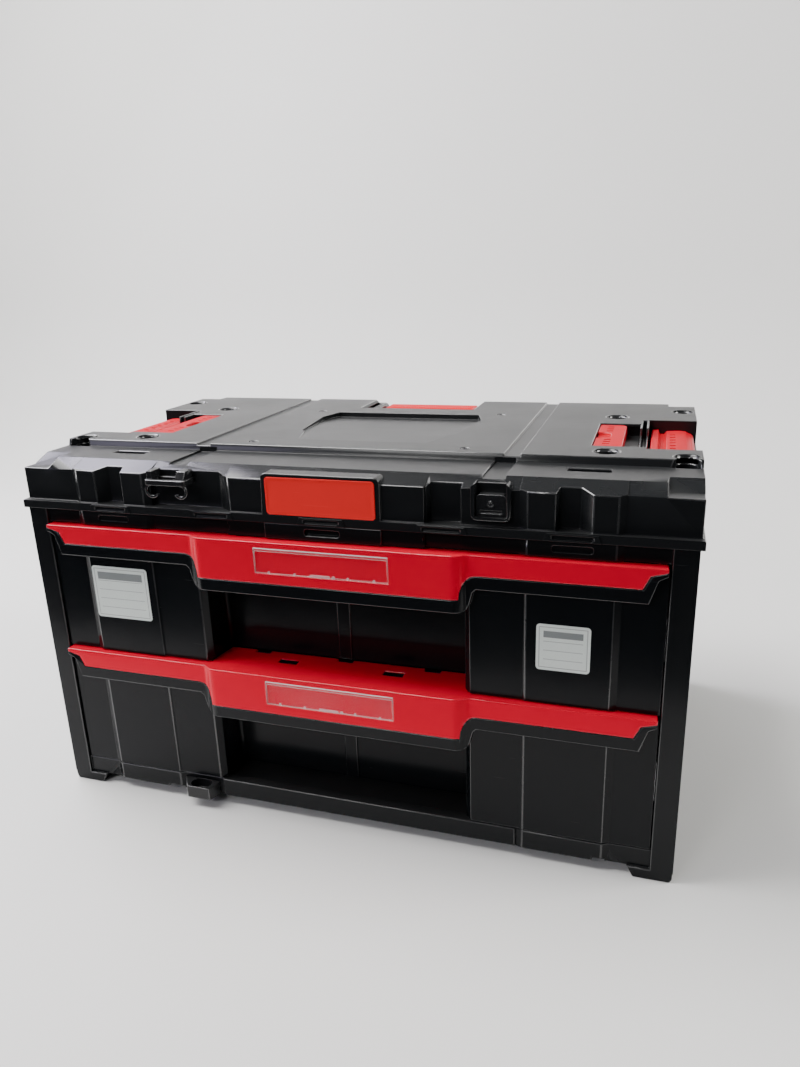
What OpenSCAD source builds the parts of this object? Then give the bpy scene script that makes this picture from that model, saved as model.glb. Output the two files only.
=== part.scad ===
// Portable tool box with two drawers that run on ball bearing slides.
// X is the width, -Y the front, +Z up. The origin is at the bottom centre.
// "Front plane" is the front face of the seam flange; y sizes count back from it.

/* [Housing] */
// Width over the seam flange
body_w = 576; // [570:1:640]
// Depth over the seam flange
body_d = 359; // [350:1:400]
// How far the housing stands back inside the seam flange
flange_out = 2.5; // [1.5:0.1:4]
// Wall thickness of the moulded shells
wall = 3; // [2.2:0.1:4]
// Height of the corner feet
foot_h = 9; // [6:0.5:14]
// Length of a corner foot from front to back
foot_len = 46; // [30:1:70]
// Height of the base rail's top edge above the floor
base_h = 26.4; // [24:0.2:34]
// Height of the rail over the drawers
top_rail_h = 13.5; // [12:0.5:20]
// Width of the front column at each side
column_w = 18; // [17:0.5:22]
// Depth of the columns and rails
rail_d = 13.5; // [12:0.5:20]

/* [Top shell] */
// Height of the seam flange
flange_h = 7; // [5:0.5:9]
// Height of the top shell's upright front face, from the seam
face_h = 35.5; // [32:0.5:45]
// Rise from the upright face to the ledge
ledge_rise = 7; // [5:0.5:10]
// Rise from the ledge to the deck
deck_rise = 6; // [4:0.5:9]
// Run of the sloped face between upright face and ledge
slope_run = 19.5; // [14:0.5:26]
// Run of the front ledge
ledge_run = 46; // [36:1:60]
// Distance of the deck's rear edge from the back of the box
deck_rear = 28; // [22:1:34]
// Depth of the upright recesses in the front face
recess_depth = 8.5; // [6:0.5:9]
// How far the broad pilasters stand proud of the face
pilaster_out = 3; // [2:0.5:4]
// Width of the corner block at each end of the ledge
block_w = 25; // [20:1:32]

/* [Deck] */
// Radius of a stacking socket
socket_r = 9; // [6:0.5:10]
// Depth of a stacking socket
socket_depth = 14; // [8:0.5:16]
// Distance of the stacking sockets from the middle
socket_x = 213; // [208:1:216]
// Radius of a corner pocket
pocket_r = 8; // [6:0.5:9]
// Depth of a corner pocket
pocket_depth = 20; // [14:0.5:22]
// Width of a channel
channel_w = 13; // [10:0.5:16]
// Depth of the channels in deck and ledge
channel_depth = 2; // [1:0.2:2.4]
// Half width of the sunk field in the middle of the deck
field_x = 84; // [70:1:90]

/* [Latches] */
// Length of a latch bay from front to back
bay_len = 129; // [120:1:136]
// Depth of a latch bay under the deck
bay_depth = 21; // [19:0.5:22]
// Reach of a latch lever from its pin
lever_reach = 33; // [30:0.5:33]
// Thickness of a latch lever
lever_t = 4; // [3:0.2:5]
// Radius of a latch pin
latch_pin_r = 2; // [1.5:0.1:2.5]
// Width of a sliding lock
lock_w = 24; // [18:0.5:25]
// Length of a sliding lock
lock_len = 100; // [80:1:101]
// Thickness of a sliding lock's button
lock_t = 4; // [3:0.2:5]

/* [Carry handle] */
// Width of the carry handle over its arms
handle_w = 104; // [90:1:120]
// Length of the handle from its pivot to the grip's top
handle_len = 62; // [56:1:66]
// Thickness of the handle's arms and depth of the grip's edge
arm_t = 14; // [10:0.5:14]
// Depth of the grip from front to back
grip_d = 24; // [18:0.5:25]
// Radius of the handle's pivots
pivot_r = 3; // [2:0.1:4]

/* [Drawers] */
// Height of a drawer front, from its lower edge to the top of its cover
front_h = 121; // [112:1:150]
// Gap above and below a drawer front
front_gap = 0.8; // [0.5:0.1:1.5]
// Depth of the finger cavity behind the front
cavity_d = 36; // [30:1:50]
// Half width of the finger cavity
cavity_x = 118; // [100:1:120]
// How far the drawer's grip stands out of the front plane
grip_out = 9; // [8:0.5:14]
// How far the drawer's side strips stand out of the front plane
strip_out = 3; // [2:0.5:5]
// Height of the side strips' red face
strip_h = 17; // [14:0.5:24]
// Height of the grip's red face
grip_h = 36; // [32:0.5:44]
// Height of the black lip under the red face
lip_h = 11; // [8:0.5:14]
// Wall thickness of a drawer
tub_wall = 2.5; // [2:0.1:3.5]
// Thickness of the red cover
cap_t = 2.5; // [2:0.1:3]
// Width of the clear label holder
window_w = 115.6; // [90:0.2:130]
// Height of the clear label holder
window_h = 22; // [18:0.5:24]

/* [Slides] */
// Thickness of a drawer slide
slide_t = 12.7; // [12.4:0.1:13.4]
// Height of a drawer slide
slide_h = 35; // [33:1:45]
// Length of a drawer slide
slide_len = 310; // [280:1:312]
// Radius of a bearing ball
ball_r = 2; // [1.8:0.05:2]
// Length of a ball retainer
cage_len = 80; // [60:1:84]
// Gauge of the slide's sheet steel
gauge = 1.2; // [1:0.1:1.2]

/* [Hidden] */
$fn = 48;

// Clearances
fit = 0.05;
play = 0.4;
snug = 0.15;
over = 1;

// Heights above the floor
drawer_pitch = front_h + front_gap;
lower_z = base_h + front_gap;
upper_z = lower_z + drawer_pitch;
rail_z = upper_z + front_h + front_gap;
seam_z = rail_z + top_rail_h;
face_z = seam_z + face_h;
ledge_z = face_z + ledge_rise;
deck_z = ledge_z + deck_rise;
floor_z = base_h - 2;

// Widths from the middle
flange_x = body_w / 2;
shell_x = flange_x - 2;
side_x = flange_x - 3;
opening_x = side_x - column_w;
block_x = shell_x - block_w;
tub_x = opening_x - play - slide_t;
front_x = opening_x - 0.8;

// Depths behind the front plane
face_y = flange_out;
step_y = face_y + pilaster_out;
recess_y = face_y + recess_depth;
ledge_y = face_y + slope_run;
deck_y0 = ledge_y + ledge_run + 2;
deck_y1 = body_d - deck_rear;
back_y = body_d - flange_out;
panel_y = back_y - wall;
lid_in_y = recess_y + wall;
tub_back_y = panel_y - 29;
slide_y0 = step_y + 5;

// Places of the broad pilaster on each side of the top shell and drawers
pil_out0 = flange_x - 54;
pil_out1 = flange_x - 59.5;
pil_in1 = flange_x - 124.4;
pil_in0 = flange_x - 130.6;
slot_in = flange_x - 101.5;
slot_out = flange_x - 86.5;
slot_out1 = flange_x - 77.2;
mid_x = pil_in0 - 72.4;

// Top shell details
channel_x = pil_in0 - 23.4;
clip_x = pil_in0 - 20.9;
corner_y1 = deck_y1 - 15;
pocket_x = shell_x - 12;
pocket_ya = deck_y0 + 10;
pocket_yb = corner_y1 - 31;
bay_y0 = deck_y0 + 35;
bay_y1 = bay_y0 + bay_len;
bay_floor = deck_z - bay_depth;
lever_x = shell_x - 7;
lever_z = bay_floor + 5.2;
lever_bay_x = lever_x - lever_reach - 2.5;
barrel_r = latch_pin_r + 2.5;
pin_over = 7;
lock_travel = 12;
lock_x = lever_bay_x - 7.5 - lock_travel - lock_w;
lock_y = bay_y0 + 7 + lock_len / 2;
lock_floor = deck_z - 11.5;
socket_ya = bay_y0 - 14;
socket_yb = bay_y1 + 15;
notch_x = handle_w / 2 + 4;
grip_t = 14;
pocket_in_y = back_y - 20.5;
arm_y = back_y - 8;
handle_drop = 8;
pivot_z = deck_z - handle_drop - handle_len;
notch_z = pivot_z + handle_len - grip_t - 1;
hand_room = 49.5;
notch_y = arm_y - grip_d - hand_room;

// Cover and front outlines
cap_x = opening_x - 2;
cap_low = front_h - strip_h;
grip_low = front_h - grip_h;
grip_x = cavity_x - 6;
notch_pitch = 80;
// Run of the grip's slanted ends, and the inward shift of their inner faces
end_run = 6.5;
end_turn = tan(atan2(grip_out - 0.5 - strip_out, end_run) / 2);
// Where the red face's lower edge has swept up to the strip
sweep_end = 14;
// Slots in the cover's top, in a thinner web
slot_x = 49;
slot_len = 18;
slot_w = 8;
slot_y = cavity_d - 10;
slot_web = 1.3;
// Slant of the panels' edges at the finger cavity
cavity_ease = 5;

// Slides
slide_mid = 60;
race_out = slide_h / 2 - gauge;
ball_w = race_out - fit - ball_r;
race_in = ball_w - ball_r - fit;
screw_head = 1.2;
cage_u = gauge + screw_head + 0.3;
cage_t = 0.7;
lip_in_u = cage_u + cage_t + 0.2;
lip_t = 1;
ball_u = lip_in_u + lip_t + 0.2 + ball_r;
cage_end_u = ball_u + ball_r + 0.7;
lip_out_u = cage_end_u + 0.3;
balls = 6;
ball_pitch = (cage_len - 10) / (balls - 1);
cage_mid = slide_y0 + slide_len / 2;

// ---- helpers -------------------------------------------------------------

// Moves parts whose y counts back from the front plane into the part's frame
module placed() {
  translate([0, -(body_d - grip_out) / 2, 0]) children();
}

module block(x0, x1, y0, y1, z0, z1) {
  translate([x0, y0, z0]) cube([x1 - x0, y1 - y0, z1 - z0]);
}

// A profile drawn in (y, z) and drawn out from x0 to x1
module along_x(x0, x1) {
  translate([x0, 0, 0]) rotate([90, 0, 90]) linear_extrude(x1 - x0) children();
}

// A profile drawn in (x, z) and drawn out from y0 to y1
module along_y(y0, y1) {
  translate([0, y1, 0]) rotate([90, 0, 0]) linear_extrude(y1 - y0) children();
}

// A profile drawn in (x, y) and drawn out from z0 to z1
module along_z(z0, z1) {
  translate([0, 0, z0]) linear_extrude(z1 - z0) children();
}

module both_sides() {
  children();
  mirror([1, 0, 0]) children();
}

module side(right) {
  mirror([right ? 0 : 1, 0, 0]) children();
}

module rod_y(x, z, y0, y1, r) {
  translate([x, y1, z]) rotate([90, 0, 0]) cylinder(h = y1 - y0, r = r);
}

module rod_z(x, y, z0, z1, r) {
  translate([x, y, z0]) cylinder(h = z1 - z0, r = r);
}

module rod_x(x0, x1, y, z, r) {
  translate([x0, y, z]) rotate([0, 90, 0]) cylinder(h = x1 - x0, r = r);
}

// A rectangle with round corners
module rounded(x0, x1, y0, y1, r) {
  translate([x0 + r, y0]) square([x1 - x0 - 2 * r, y1 - y0]);
  translate([x0, y0 + r]) square([x1 - x0, y1 - y0 - 2 * r]);
  for (x = [x0 + r, x1 - r], y = [y0 + r, y1 - r]) translate([x, y]) circle(r);
}

// ---- top shell -----------------------------------------------------------

function roof_profile(y_face) = [[y_face, seam_z], [y_face, face_z], [ledge_y, ledge_z],
  [deck_y0 - 2, ledge_z], [deck_y0, deck_z], [deck_y1, deck_z], [deck_y1 + 2, ledge_z],
  [back_y - 8, ledge_z], [back_y, face_z], [back_y, seam_z]];

// The corner's sloped face starts further back, behind a flat foot
block_back = 16;
corner_profile = [[step_y, seam_z], [step_y, face_z], [face_y + slope_run - 2, face_z],
  [ledge_y + block_back, ledge_z], [deck_y0 - 2, ledge_z], [deck_y0, deck_z], [corner_y1, deck_z],
  [corner_y1 + 2, ledge_z], [back_y - 8, ledge_z], [back_y, face_z], [back_y, seam_z]];

roof_inside = [[lid_in_y, seam_z - over], [lid_in_y, face_z - 1], [ledge_y + 2, ledge_z - wall],
  [deck_y0 + 1, ledge_z - wall], [deck_y0 + 3, deck_z - wall], [deck_y1 - 3, deck_z - wall],
  [deck_y1 - 1, ledge_z - wall], [back_y - 10, ledge_z - wall], [back_y - wall, face_z - 2],
  [back_y - wall, seam_z - over]];

// Inside of the corner blocks
corner_inside = [[lid_in_y, seam_z - over], [lid_in_y, face_z - wall], [ledge_y, face_z - wall],
  [ledge_y + block_back + 2, ledge_z - wall], [deck_y0 + 1, ledge_z - wall], [deck_y0 + 3, deck_z - wall],
  [corner_y1 - 3, deck_z - wall], [corner_y1 - 1, ledge_z - wall], [back_y - 10, ledge_z - wall],
  [back_y - wall, face_z - 2], [back_y - wall, seam_z - over]];

module top_outside() {
  along_x(-block_x, block_x) polygon(roof_profile(step_y));
  both_sides() along_x(block_x, shell_x) polygon(corner_profile);
  both_sides() intersection() {
    along_x(pil_in0, pil_out0) polygon(roof_profile(face_y));
    along_z(seam_z - over, deck_z + over) polygon([[pil_in0, step_y], [pil_in1, face_y],
      [pil_out1, face_y], [pil_out0, step_y], [pil_out0, deck_y0], [pil_in0, deck_y0]]);
  }
  along_x(-mid_x, mid_x) polygon(roof_profile(face_y));
  block(-flange_x, flange_x, 0, body_d, seam_z, seam_z + flange_h);
  snap_tabs();
  // Raised seat of the name plate
  along_y(0, lid_in_y) rounded(-plate_x - 4, plate_x + 4, seam_z, plate_z1 + 3, 5);
}

plate_x = 46.5;
plate_z0 = seam_z + 7.5;
plate_z1 = plate_z0 + 31;
mid_end = max(mid_x - 3, plate_x + 8);

module front_recesses() {
  z0 = seam_z + flange_h;
  // Narrow recess inside each broad pilaster
  both_sides() along_z(z0, deck_z) polygon([[slot_in - 2.5, face_y - over], [slot_in, recess_y],
    [slot_out, recess_y], [slot_out1, face_y], [slot_out1, face_y - over]]);
  // Wide recess behind the bar loop, left
  along_z(z0, deck_z) polygon([[-pil_in0, step_y - 6], [-pil_in0, recess_y], [43.5 - clip_x, recess_y],
    [55.5 - clip_x, face_y], [55.5 - clip_x, step_y - 6]]);
  // Narrow recess beside the blanking tab, right
  along_z(z0, deck_z) polygon([[mid_x, face_y - over], [mid_x, face_y], [mid_x + 4, recess_y],
    [clip_x - 23.5, recess_y], [clip_x - 23.5, face_y - over]]);
}

// Hollows behind the pilasters, so that the wall keeps its thickness
module front_hollows() {
  y0 = step_y + wall;
  z0 = seam_z - over;
  z1 = face_z - wall;
  both_sides() block(slot_out1 + 3, pil_out1 - 1, face_y + wall, lid_in_y + over, z0, z1);
  both_sides() block(pil_in1 + 1, slot_in - 5, face_y + wall, lid_in_y + over, z0, z1);
  both_sides() block(pil_out0 + 2, block_x - 2, y0, lid_in_y + over, z0, z1 - 2);
  both_sides() block(block_x + 1, shell_x - wall, y0, lid_in_y + over, z0, z1 - 2);
  block(4 - mid_end, -plate_x - 7, face_y + wall, lid_in_y + over, z0, z1);
  block(plate_x + 7, mid_end, face_y + wall, lid_in_y + over, z0, z1);
  block(-plate_x, plate_x, wall + 1, lid_in_y + over, z0, z1);
  block(clip_x - 20.5, pil_in0 - 2, y0, lid_in_y + over, z0, z1 - 2);
}

// Solid lumps under the deck that the bays and sockets are cut into
module under_deck_lumps() {
  both_sides() {
    block(lock_x - 4, shell_x - 1, bay_y0 - wall, bay_y1 + wall, bay_floor - wall, deck_z - 2);
    block(pil_in1 + 24 - wall, slot_out1 + 9 + wall, ledge_y + 22.5 - wall, ledge_y + 31.5 + wall,
      ledge_z - ledge_pocket - wall, ledge_z - 1);
    for (y = [socket_ya, socket_yb])
      rod_z(socket_x, y, deck_z - socket_depth - wall, deck_z - 2, socket_r + 2.5);
    for (y = [pocket_ya, pocket_yb]) {
      rod_z(pocket_x, y, deck_z - pocket_depth - wall, ledge_z - 1, pocket_r + wall);
      rod_z(pocket_x, y, seam_z, deck_z - pocket_depth, boss_r);
    }
    // Bosses of the latch pin
    block(lever_x - 6, shell_x - 1, bay_y0 - pin_over, bay_y0, bay_floor - wall, deck_z - 2);
    block(lever_x - 6, shell_x - 1, bay_y1, bay_y1 + pin_over, bay_floor - wall, deck_z - 2);
  }
  // Floor under the sunk field
  along_x(-field_x - 2, field_x + 2) polygon([[field_y0, deck_z - 2], [field_y0, deck_z - wall],
    [field_y1, deck_z - field_d - wall], [field_y1 + wall, deck_z - field_d - wall],
    [field_y1 + wall, deck_z - 2]]);
  block(-notch_x - wall, notch_x + wall, notch_y - wall, back_y - 1, notch_z - wall, deck_z - 2);
  block(-notch_x - wall, notch_x + wall, pocket_in_y - wall, back_y - 1, seam_z, notch_z);
}

boss_r = 6;
ledge_pocket = 6;
field_d = 5.5;
field_y0 = deck_y0 + 30;
field_y1 = deck_y0 + 174;

module deck_cuts() {
  // Channels across deck and ledge, and the slots in the ledge
  both_sides() {
    block(channel_x, channel_x + channel_w, deck_y0 - 2.5, back_y, deck_z - channel_depth, deck_z + over);
    block(channel_x - 7, channel_x + channel_w - 3, 0, deck_y0 - 1, ledge_z - channel_depth, deck_z + over);
    block(pil_in1 + 24, slot_out1 + 9, ledge_y + 22.5, ledge_y + 31.5, ledge_z - ledge_pocket, deck_z);
  }
  // Sunk field in the middle, shallow at the front and deepest at the rear
  intersection() {
    along_x(-field_x, field_x) polygon([[field_y0, deck_z], [field_y1, deck_z - field_d],
      [field_y1, deck_z + over], [field_y0, deck_z + over]]);
    along_z(deck_z - field_d - over, deck_z + over) polygon([[-60, field_y0 - 1], [60, field_y0 - 1],
      [70, field_y0 + 36], [76, field_y0 + 44], [field_x, field_y1 - 28], [field_x - 8, field_y1],
      [8 - field_x, field_y1], [-field_x, field_y1 - 28], [-76, field_y0 + 44],
      [-70, field_y0 + 36]]);
  }
  // Screw seats in the deck
  for (x = [-stiff_x, stiff_x], y = [stiff_ya, stiff_yb]) {
    rod_z(x, y, deck_z - 2, deck_z + over, 4.2);
    rod_z(x, y, deck_z - wall - over, deck_z, 1.7);
  }
  both_sides() {
    for (y = [socket_ya, socket_yb]) {
      rod_z(socket_x, y, deck_z - socket_depth, deck_z + over, socket_r);
      translate([socket_x, y, deck_z - 2]) cylinder(h = 2.01, r1 = socket_r, r2 = socket_r + 2);
    }
    for (y = [pocket_ya, pocket_yb]) {
      rod_z(pocket_x, y, deck_z - pocket_depth, deck_z + over, pocket_r);
      translate([pocket_x, y, deck_z - 3]) cylinder(h = 3.01, r1 = pocket_r, r2 = pocket_r + 2.5);
      rod_z(pocket_x, y, seam_z - over, deck_z, 2.7);
    }
    // The front corner pockets are open through the deck's front wall
    along_z(ledge_z - 3, deck_z + over) polygon([[pocket_x - pocket_r, pocket_ya],
      [pocket_x - pocket_r, pocket_ya - 8], [pocket_x - pocket_r - 5, deck_y0 - 4],
      [pocket_x + pocket_r + 3, deck_y0 - 4], [pocket_x + pocket_r, pocket_ya - 8],
      [pocket_x + pocket_r, pocket_ya]]);
  }
}

module latch_bay_cuts() {
  lock_y0 = lock_y - lock_len / 2 - play;
  lock_y1 = lock_y + lock_len / 2 + play;
  lock_end = lever_bay_x - 7.5;
  both_sides() {
    block(lever_bay_x, flange_x + over, bay_y0, bay_y1, bay_floor, deck_z + over);
    // The sliding lock's bay, with an undercut that holds its foot down
    block(lock_x - play, lock_end, lock_y0, lock_y1, lock_floor, deck_z + over);
    block(lock_x - play, lock_end, lock_y0 - 4, lock_y1 + 4, lock_floor, deck_z - wall);
    block(lock_x, lock_end - 2, lock_y0, lock_y1, bay_floor - wall - over, lock_floor - wall);
    // Two low ribs between the bays, with a groove between them, that rise at the rear
    along_y(lock_y0, bay_y1 - rib_rise) polygon(rib_gap(rib_z));
    block(lever_bay_x - 5.5, lever_bay_x - 2, lock_y0 + 20, bay_y1 - 2, lock_floor - 2, deck_z + over);
    // The tongue's way through the ribs
    block(lock_end - over, lever_bay_x + over, tongue_y - tongue_w / 2 - 2, tongue_y + tongue_w / 2 + 2,
      lock_floor, deck_z);
    rod_y(lever_x, lever_z, bay_y0 - pin_over - over, bay_y1 + pin_over + over, latch_pin_r + fit);
  }
}

function rib_gap(z) = [[lever_bay_x - 7.5 - over, z], [lever_bay_x + over, z],
  [lever_bay_x + over, deck_z + over], [lever_bay_x - 7.5 - over, deck_z + over]];
rib_z = deck_z - 8;
rib_rise = 40;
tongue_w = 18;
tongue_y = bay_y0 + 21;

module handle_notch() {
  // Notch in the deck that the grip lies in, and the pocket for its arms
  along_y(notch_y, body_d + over) polygon([[-notch_x, notch_z], [notch_x, notch_z],
    [notch_x, deck_z - 8], [notch_x + 8, deck_z + 0.01], [notch_x + 8, deck_z + over],
    [-notch_x - 8, deck_z + over], [-notch_x - 8, deck_z + 0.01], [-notch_x, deck_z - 8]]);
  block(-notch_x, notch_x, pocket_in_y, body_d + over, seam_z - over, deck_z + over);
}

snap_xs = [-197, -98.5, 0, 98.5, 197];

module snap_slots() {
  for (x = snap_xs) {
    along_y(-over, 1.2) rounded(x - 15, x + 15, seam_z + 1.4, seam_z + 5, 1.7);
  }
}

// Raised tabs on the flange over the snap slots
module snap_tabs() {
  for (x = snap_xs) along_y(-tab_out, over) polygon([[x - 21, seam_z + 0.2], [x + 21, seam_z + 0.2],
    [x + 18.5, seam_z + flange_h - 0.8], [x - 18.5, seam_z + flange_h - 0.8]]);
}

tab_out = 0.7;

// Raised U frame that holds the blanking tab, and its pocket
clip_z0 = seam_z + 12;
clip_z1 = ledge_z - 1.5;
clip_half = 15;

module clip_frame() {
  along_y(0.6, lid_in_y) difference() {
    rounded(clip_x - clip_half, clip_x + clip_half, clip_z0, clip_z1, 5);
    rounded(clip_x - clip_half + 3, clip_x + clip_half - 3, clip_z0 + 3, clip_z1 + 20, 3);
  }
  along_y(step_y, lid_in_y + 3) rounded(clip_x - clip_half, clip_x + clip_half, clip_z0, clip_z1 - 2, 5);
}

module clip_pocket() {
  block(clip_x - clip_half + 3, clip_x + clip_half - 3, -over, recess_y, clip_z0 + 3, deck_z + over);
}

loop_z = face_z - 5;

module top_shell() color("#1c1d1f") placed() {
  difference() {
    union() {
      difference() {
        union() {
          difference() {
            top_outside();
            front_recesses();
          }
          clip_frame();
        }
        along_x(wall - block_x, block_x - wall) polygon(roof_inside);
        both_sides() along_x(block_x - wall - 0.01, shell_x - wall) polygon(corner_inside);
        front_hollows();
      }
      intersection() {
        under_deck_lumps();
        along_x(-shell_x + 1, shell_x - 1) polygon(roof_profile(face_y));
      }
    }
    clip_pocket();
    deck_cuts();
    latch_bay_cuts();
    handle_notch();
    snap_slots();
    // Seat of the name plate
    along_y(-over, 0.8)
      rounded(-plate_x - snug, plate_x + snug, plate_z0 - snug, plate_z1 + snug, 3 + snug);
    // Screw holes of the bar loop
    for (x = loop_screw_xs) rod_y(x, loop_screw_z, recess_y - 2, lid_in_y + over, 1.4);
  }
}

loop_screw_xs = [-clip_x - 15, -clip_x + 14];
loop_screw_z = loop_z + 1.4;

// ---- deck stiffener and screws ---------------------------------------------

stiff_x = 98;
stiff_ya = deck_y0 + 14;
stiff_yb = deck_y0 + 178;
stiff_z1 = deck_z - field_d - wall - 0.5;
stiff_z0 = stiff_z1 - wall;

module deck_stiffener() color("#26272a") placed() {
  difference() {
    union() {
      block(-stiff_x - 9, stiff_x + 9, stiff_ya - 9, stiff_yb + 9, stiff_z0, stiff_z1);
      for (x = [-stiff_x, stiff_x], y = [stiff_ya, stiff_yb]) {
        rod_z(x, y, stiff_z1 - 1, deck_z - wall, 5);
        rod_z(x, y, stiff_z0 - 8, stiff_z0 + 1, 4);
      }
      for (x = [-60, -20, 20, 60]) block(x - 1, x + 1, stiff_ya, stiff_yb, stiff_z0 - 6, stiff_z0 + 1);
      for (y = [stiff_ya + 40, stiff_ya + 82, stiff_ya + 124])
        block(-stiff_x, stiff_x, y - 1, y + 1, stiff_z0 - 6, stiff_z0 + 1);
    }
    for (x = [-stiff_x, stiff_x], y = [stiff_ya, stiff_yb])
      rod_z(x, y, stiff_z0 - 8 - over, deck_z, 1.3);
  }
}

// A pan head screw pointing down, its head's underside at z
module screw_down(x, y, z, head_r, head_h, shank_r, len) {
  difference() {
    union() {
      rod_z(x, y, z, z + head_h, head_r);
      rod_z(x, y, z - len, z + head_h / 2, shank_r);
    }
    block(x - head_r * 0.6, x + head_r * 0.6, y - 0.5, y + 0.5, z + head_h - 0.8, z + head_h + over);
    block(x - 0.5, x + 0.5, y - head_r * 0.6, y + head_r * 0.6, z + head_h - 0.8, z + head_h + over);
  }
}

module deck_screws() color("#2c2d30") placed() {
  for (x = [-stiff_x, stiff_x], y = [stiff_ya, stiff_yb])
    screw_down(x, y, deck_z - 2, 3.6, 1.8, 1.3 - fit, deck_screw_len);
}

deck_screw_len = deck_z - 2 - stiff_z0 + 4;
corner_screw_len = deck_z - pocket_depth - seam_z + 20;

module corner_screws() color("#3a3c40") placed() {
  for (x = [-pocket_x, pocket_x], y = [pocket_ya, pocket_yb])
    screw_down(x, y, deck_z - pocket_depth, 4.5, 3, 2.2, corner_screw_len);
}

module name_plate() color("#d8392f") placed() {
  along_y(-0.5, 0.8) rounded(-plate_x, plate_x, plate_z0, plate_z1, 3);
}

// ---- bar loop, blanking tab and bar socket -----------------------------------

// One hook under the loop: part of a ring open towards the middle
module loop_hook(x, open_right) {
  along_y(-5.5, -2.5) translate([x, loop_z - 7]) difference() {
    circle(6.5);
    circle(4.2);
    translate([open_right ? 0 : -8, -3]) square([8, 12]);
  }
}

module bar_loop() color("#1a1b1d") placed() {
  xa = -clip_x - 18;
  xb = -clip_x + 20;
  difference() {
    union() {
      along_z(loop_z - 2.2, loop_z + 2.2) difference() {
        rounded(xa, xb, -6.5, recess_y, 2.5);
        rounded(xa + 4.5, xb - 10, -2.5, recess_y - 4, 2);
      }
      // Posts that rise from the loop's ends to the sloped face
      block(xa + 0.5, xa + 5.5, -3, recess_y, loop_z, loop_z + 9);
      along_x(xb - 10, xb - 2) polygon([[-5, loop_z], [recess_y, loop_z], [recess_y, loop_z + 9],
        [0, loop_z + 9]]);
      loop_hook(xa + 6, true);
      loop_hook(xb - 5, false);
    }
    for (x = loop_screw_xs) rod_y(x, loop_screw_z, recess_y - 8, recess_y + over, 1.2 + fit);
  }
}

module loop_screws() color("#3a3c40") placed() {
  for (x = loop_screw_xs) {
    rod_y(x, loop_screw_z, lid_in_y, lid_in_y + 1.6, 2.4);
    rod_y(x, loop_screw_z, recess_y - 7, lid_in_y + over, 1.2);
  }
}

module loop_blank() color("#1a1b1d") placed() {
  w = clip_half - 3 - snug;
  y1 = recess_y - 0.3;
  difference() {
    union() {
      along_y(3.2, y1) union() {
        rounded(clip_x - w, clip_x + w, clip_z0 + 3.2, clip_z1 - 9, 4);
        translate([clip_x - w, clip_z0 + 3.2]) square([2 * w, 8]);
      }
      along_y(2.4, 3.5) translate([clip_x, clip_z0 + 13]) circle(2.2);
    }
    block(clip_x - 8, clip_x + 8, 2, 4.2, clip_z0 + 5.5, clip_z0 + 7.5);
    rod_y(clip_x, clip_z0 + 13, 2, 3, 1);
  }
}

socket_mid = 18.9 - pil_in0;

module bar_slot(z0, z1) {
  for (x = [-4, 4]) rod_z(socket_mid + x, -1, z0, z1, 6);
  block(socket_mid - 4, socket_mid + 4, -7, 5, z0, z1);
}

module bar_socket() color("#1a1b1d") placed() {
  difference() {
    along_z(foot_h + 0.5, base_h - 4.5) translate([socket_mid, 0]) polygon([[-18.5, step_y],
      [-20.5, step_y - 1.5], [-11.5, 0.2 - grip_out], [11.5, 0.2 - grip_out], [16, step_y - 1.5],
      [16, step_y]]);
    bar_slot(foot_h + 4, base_h);
  }
}

// ---- cabinet shell -----------------------------------------------------------

slide_z = [lower_z + slide_mid, upper_z + slide_mid];
pad_ys = [slide_y0 + 30, slide_y0 + slide_len - 40];
channel_face = opening_x - play;
rail_mid_x = min(cavity_x, -socket_mid - 17);

module base_cuts() {
  // Hollow under the floor, inside the skirt
  block(-side_x + wall, side_x - wall, rail_d, panel_y - wall, foot_h - over, floor_z - wall);
  // Small notches in the lower edge of the base rail
  block(slot_in + 35, slot_out + 30, 0, wall + 4, foot_h - over, foot_h + 2.5);
  block(-pil_in0 - 19, -pil_in0 - 3, 0, wall + 4, foot_h - over, foot_h + 2.5);
  bar_slot(foot_h + 4, base_h + over);
}

module foot(y0, y1) {
  along_y(y0, y1) polygon([[side_x - 2, 0], [side_x - 31, 0], [side_x - 36, foot_h + 0.5],
    [side_x - 0.5, foot_h + 0.5], [side_x - 0.5, 3]]);
}

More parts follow.
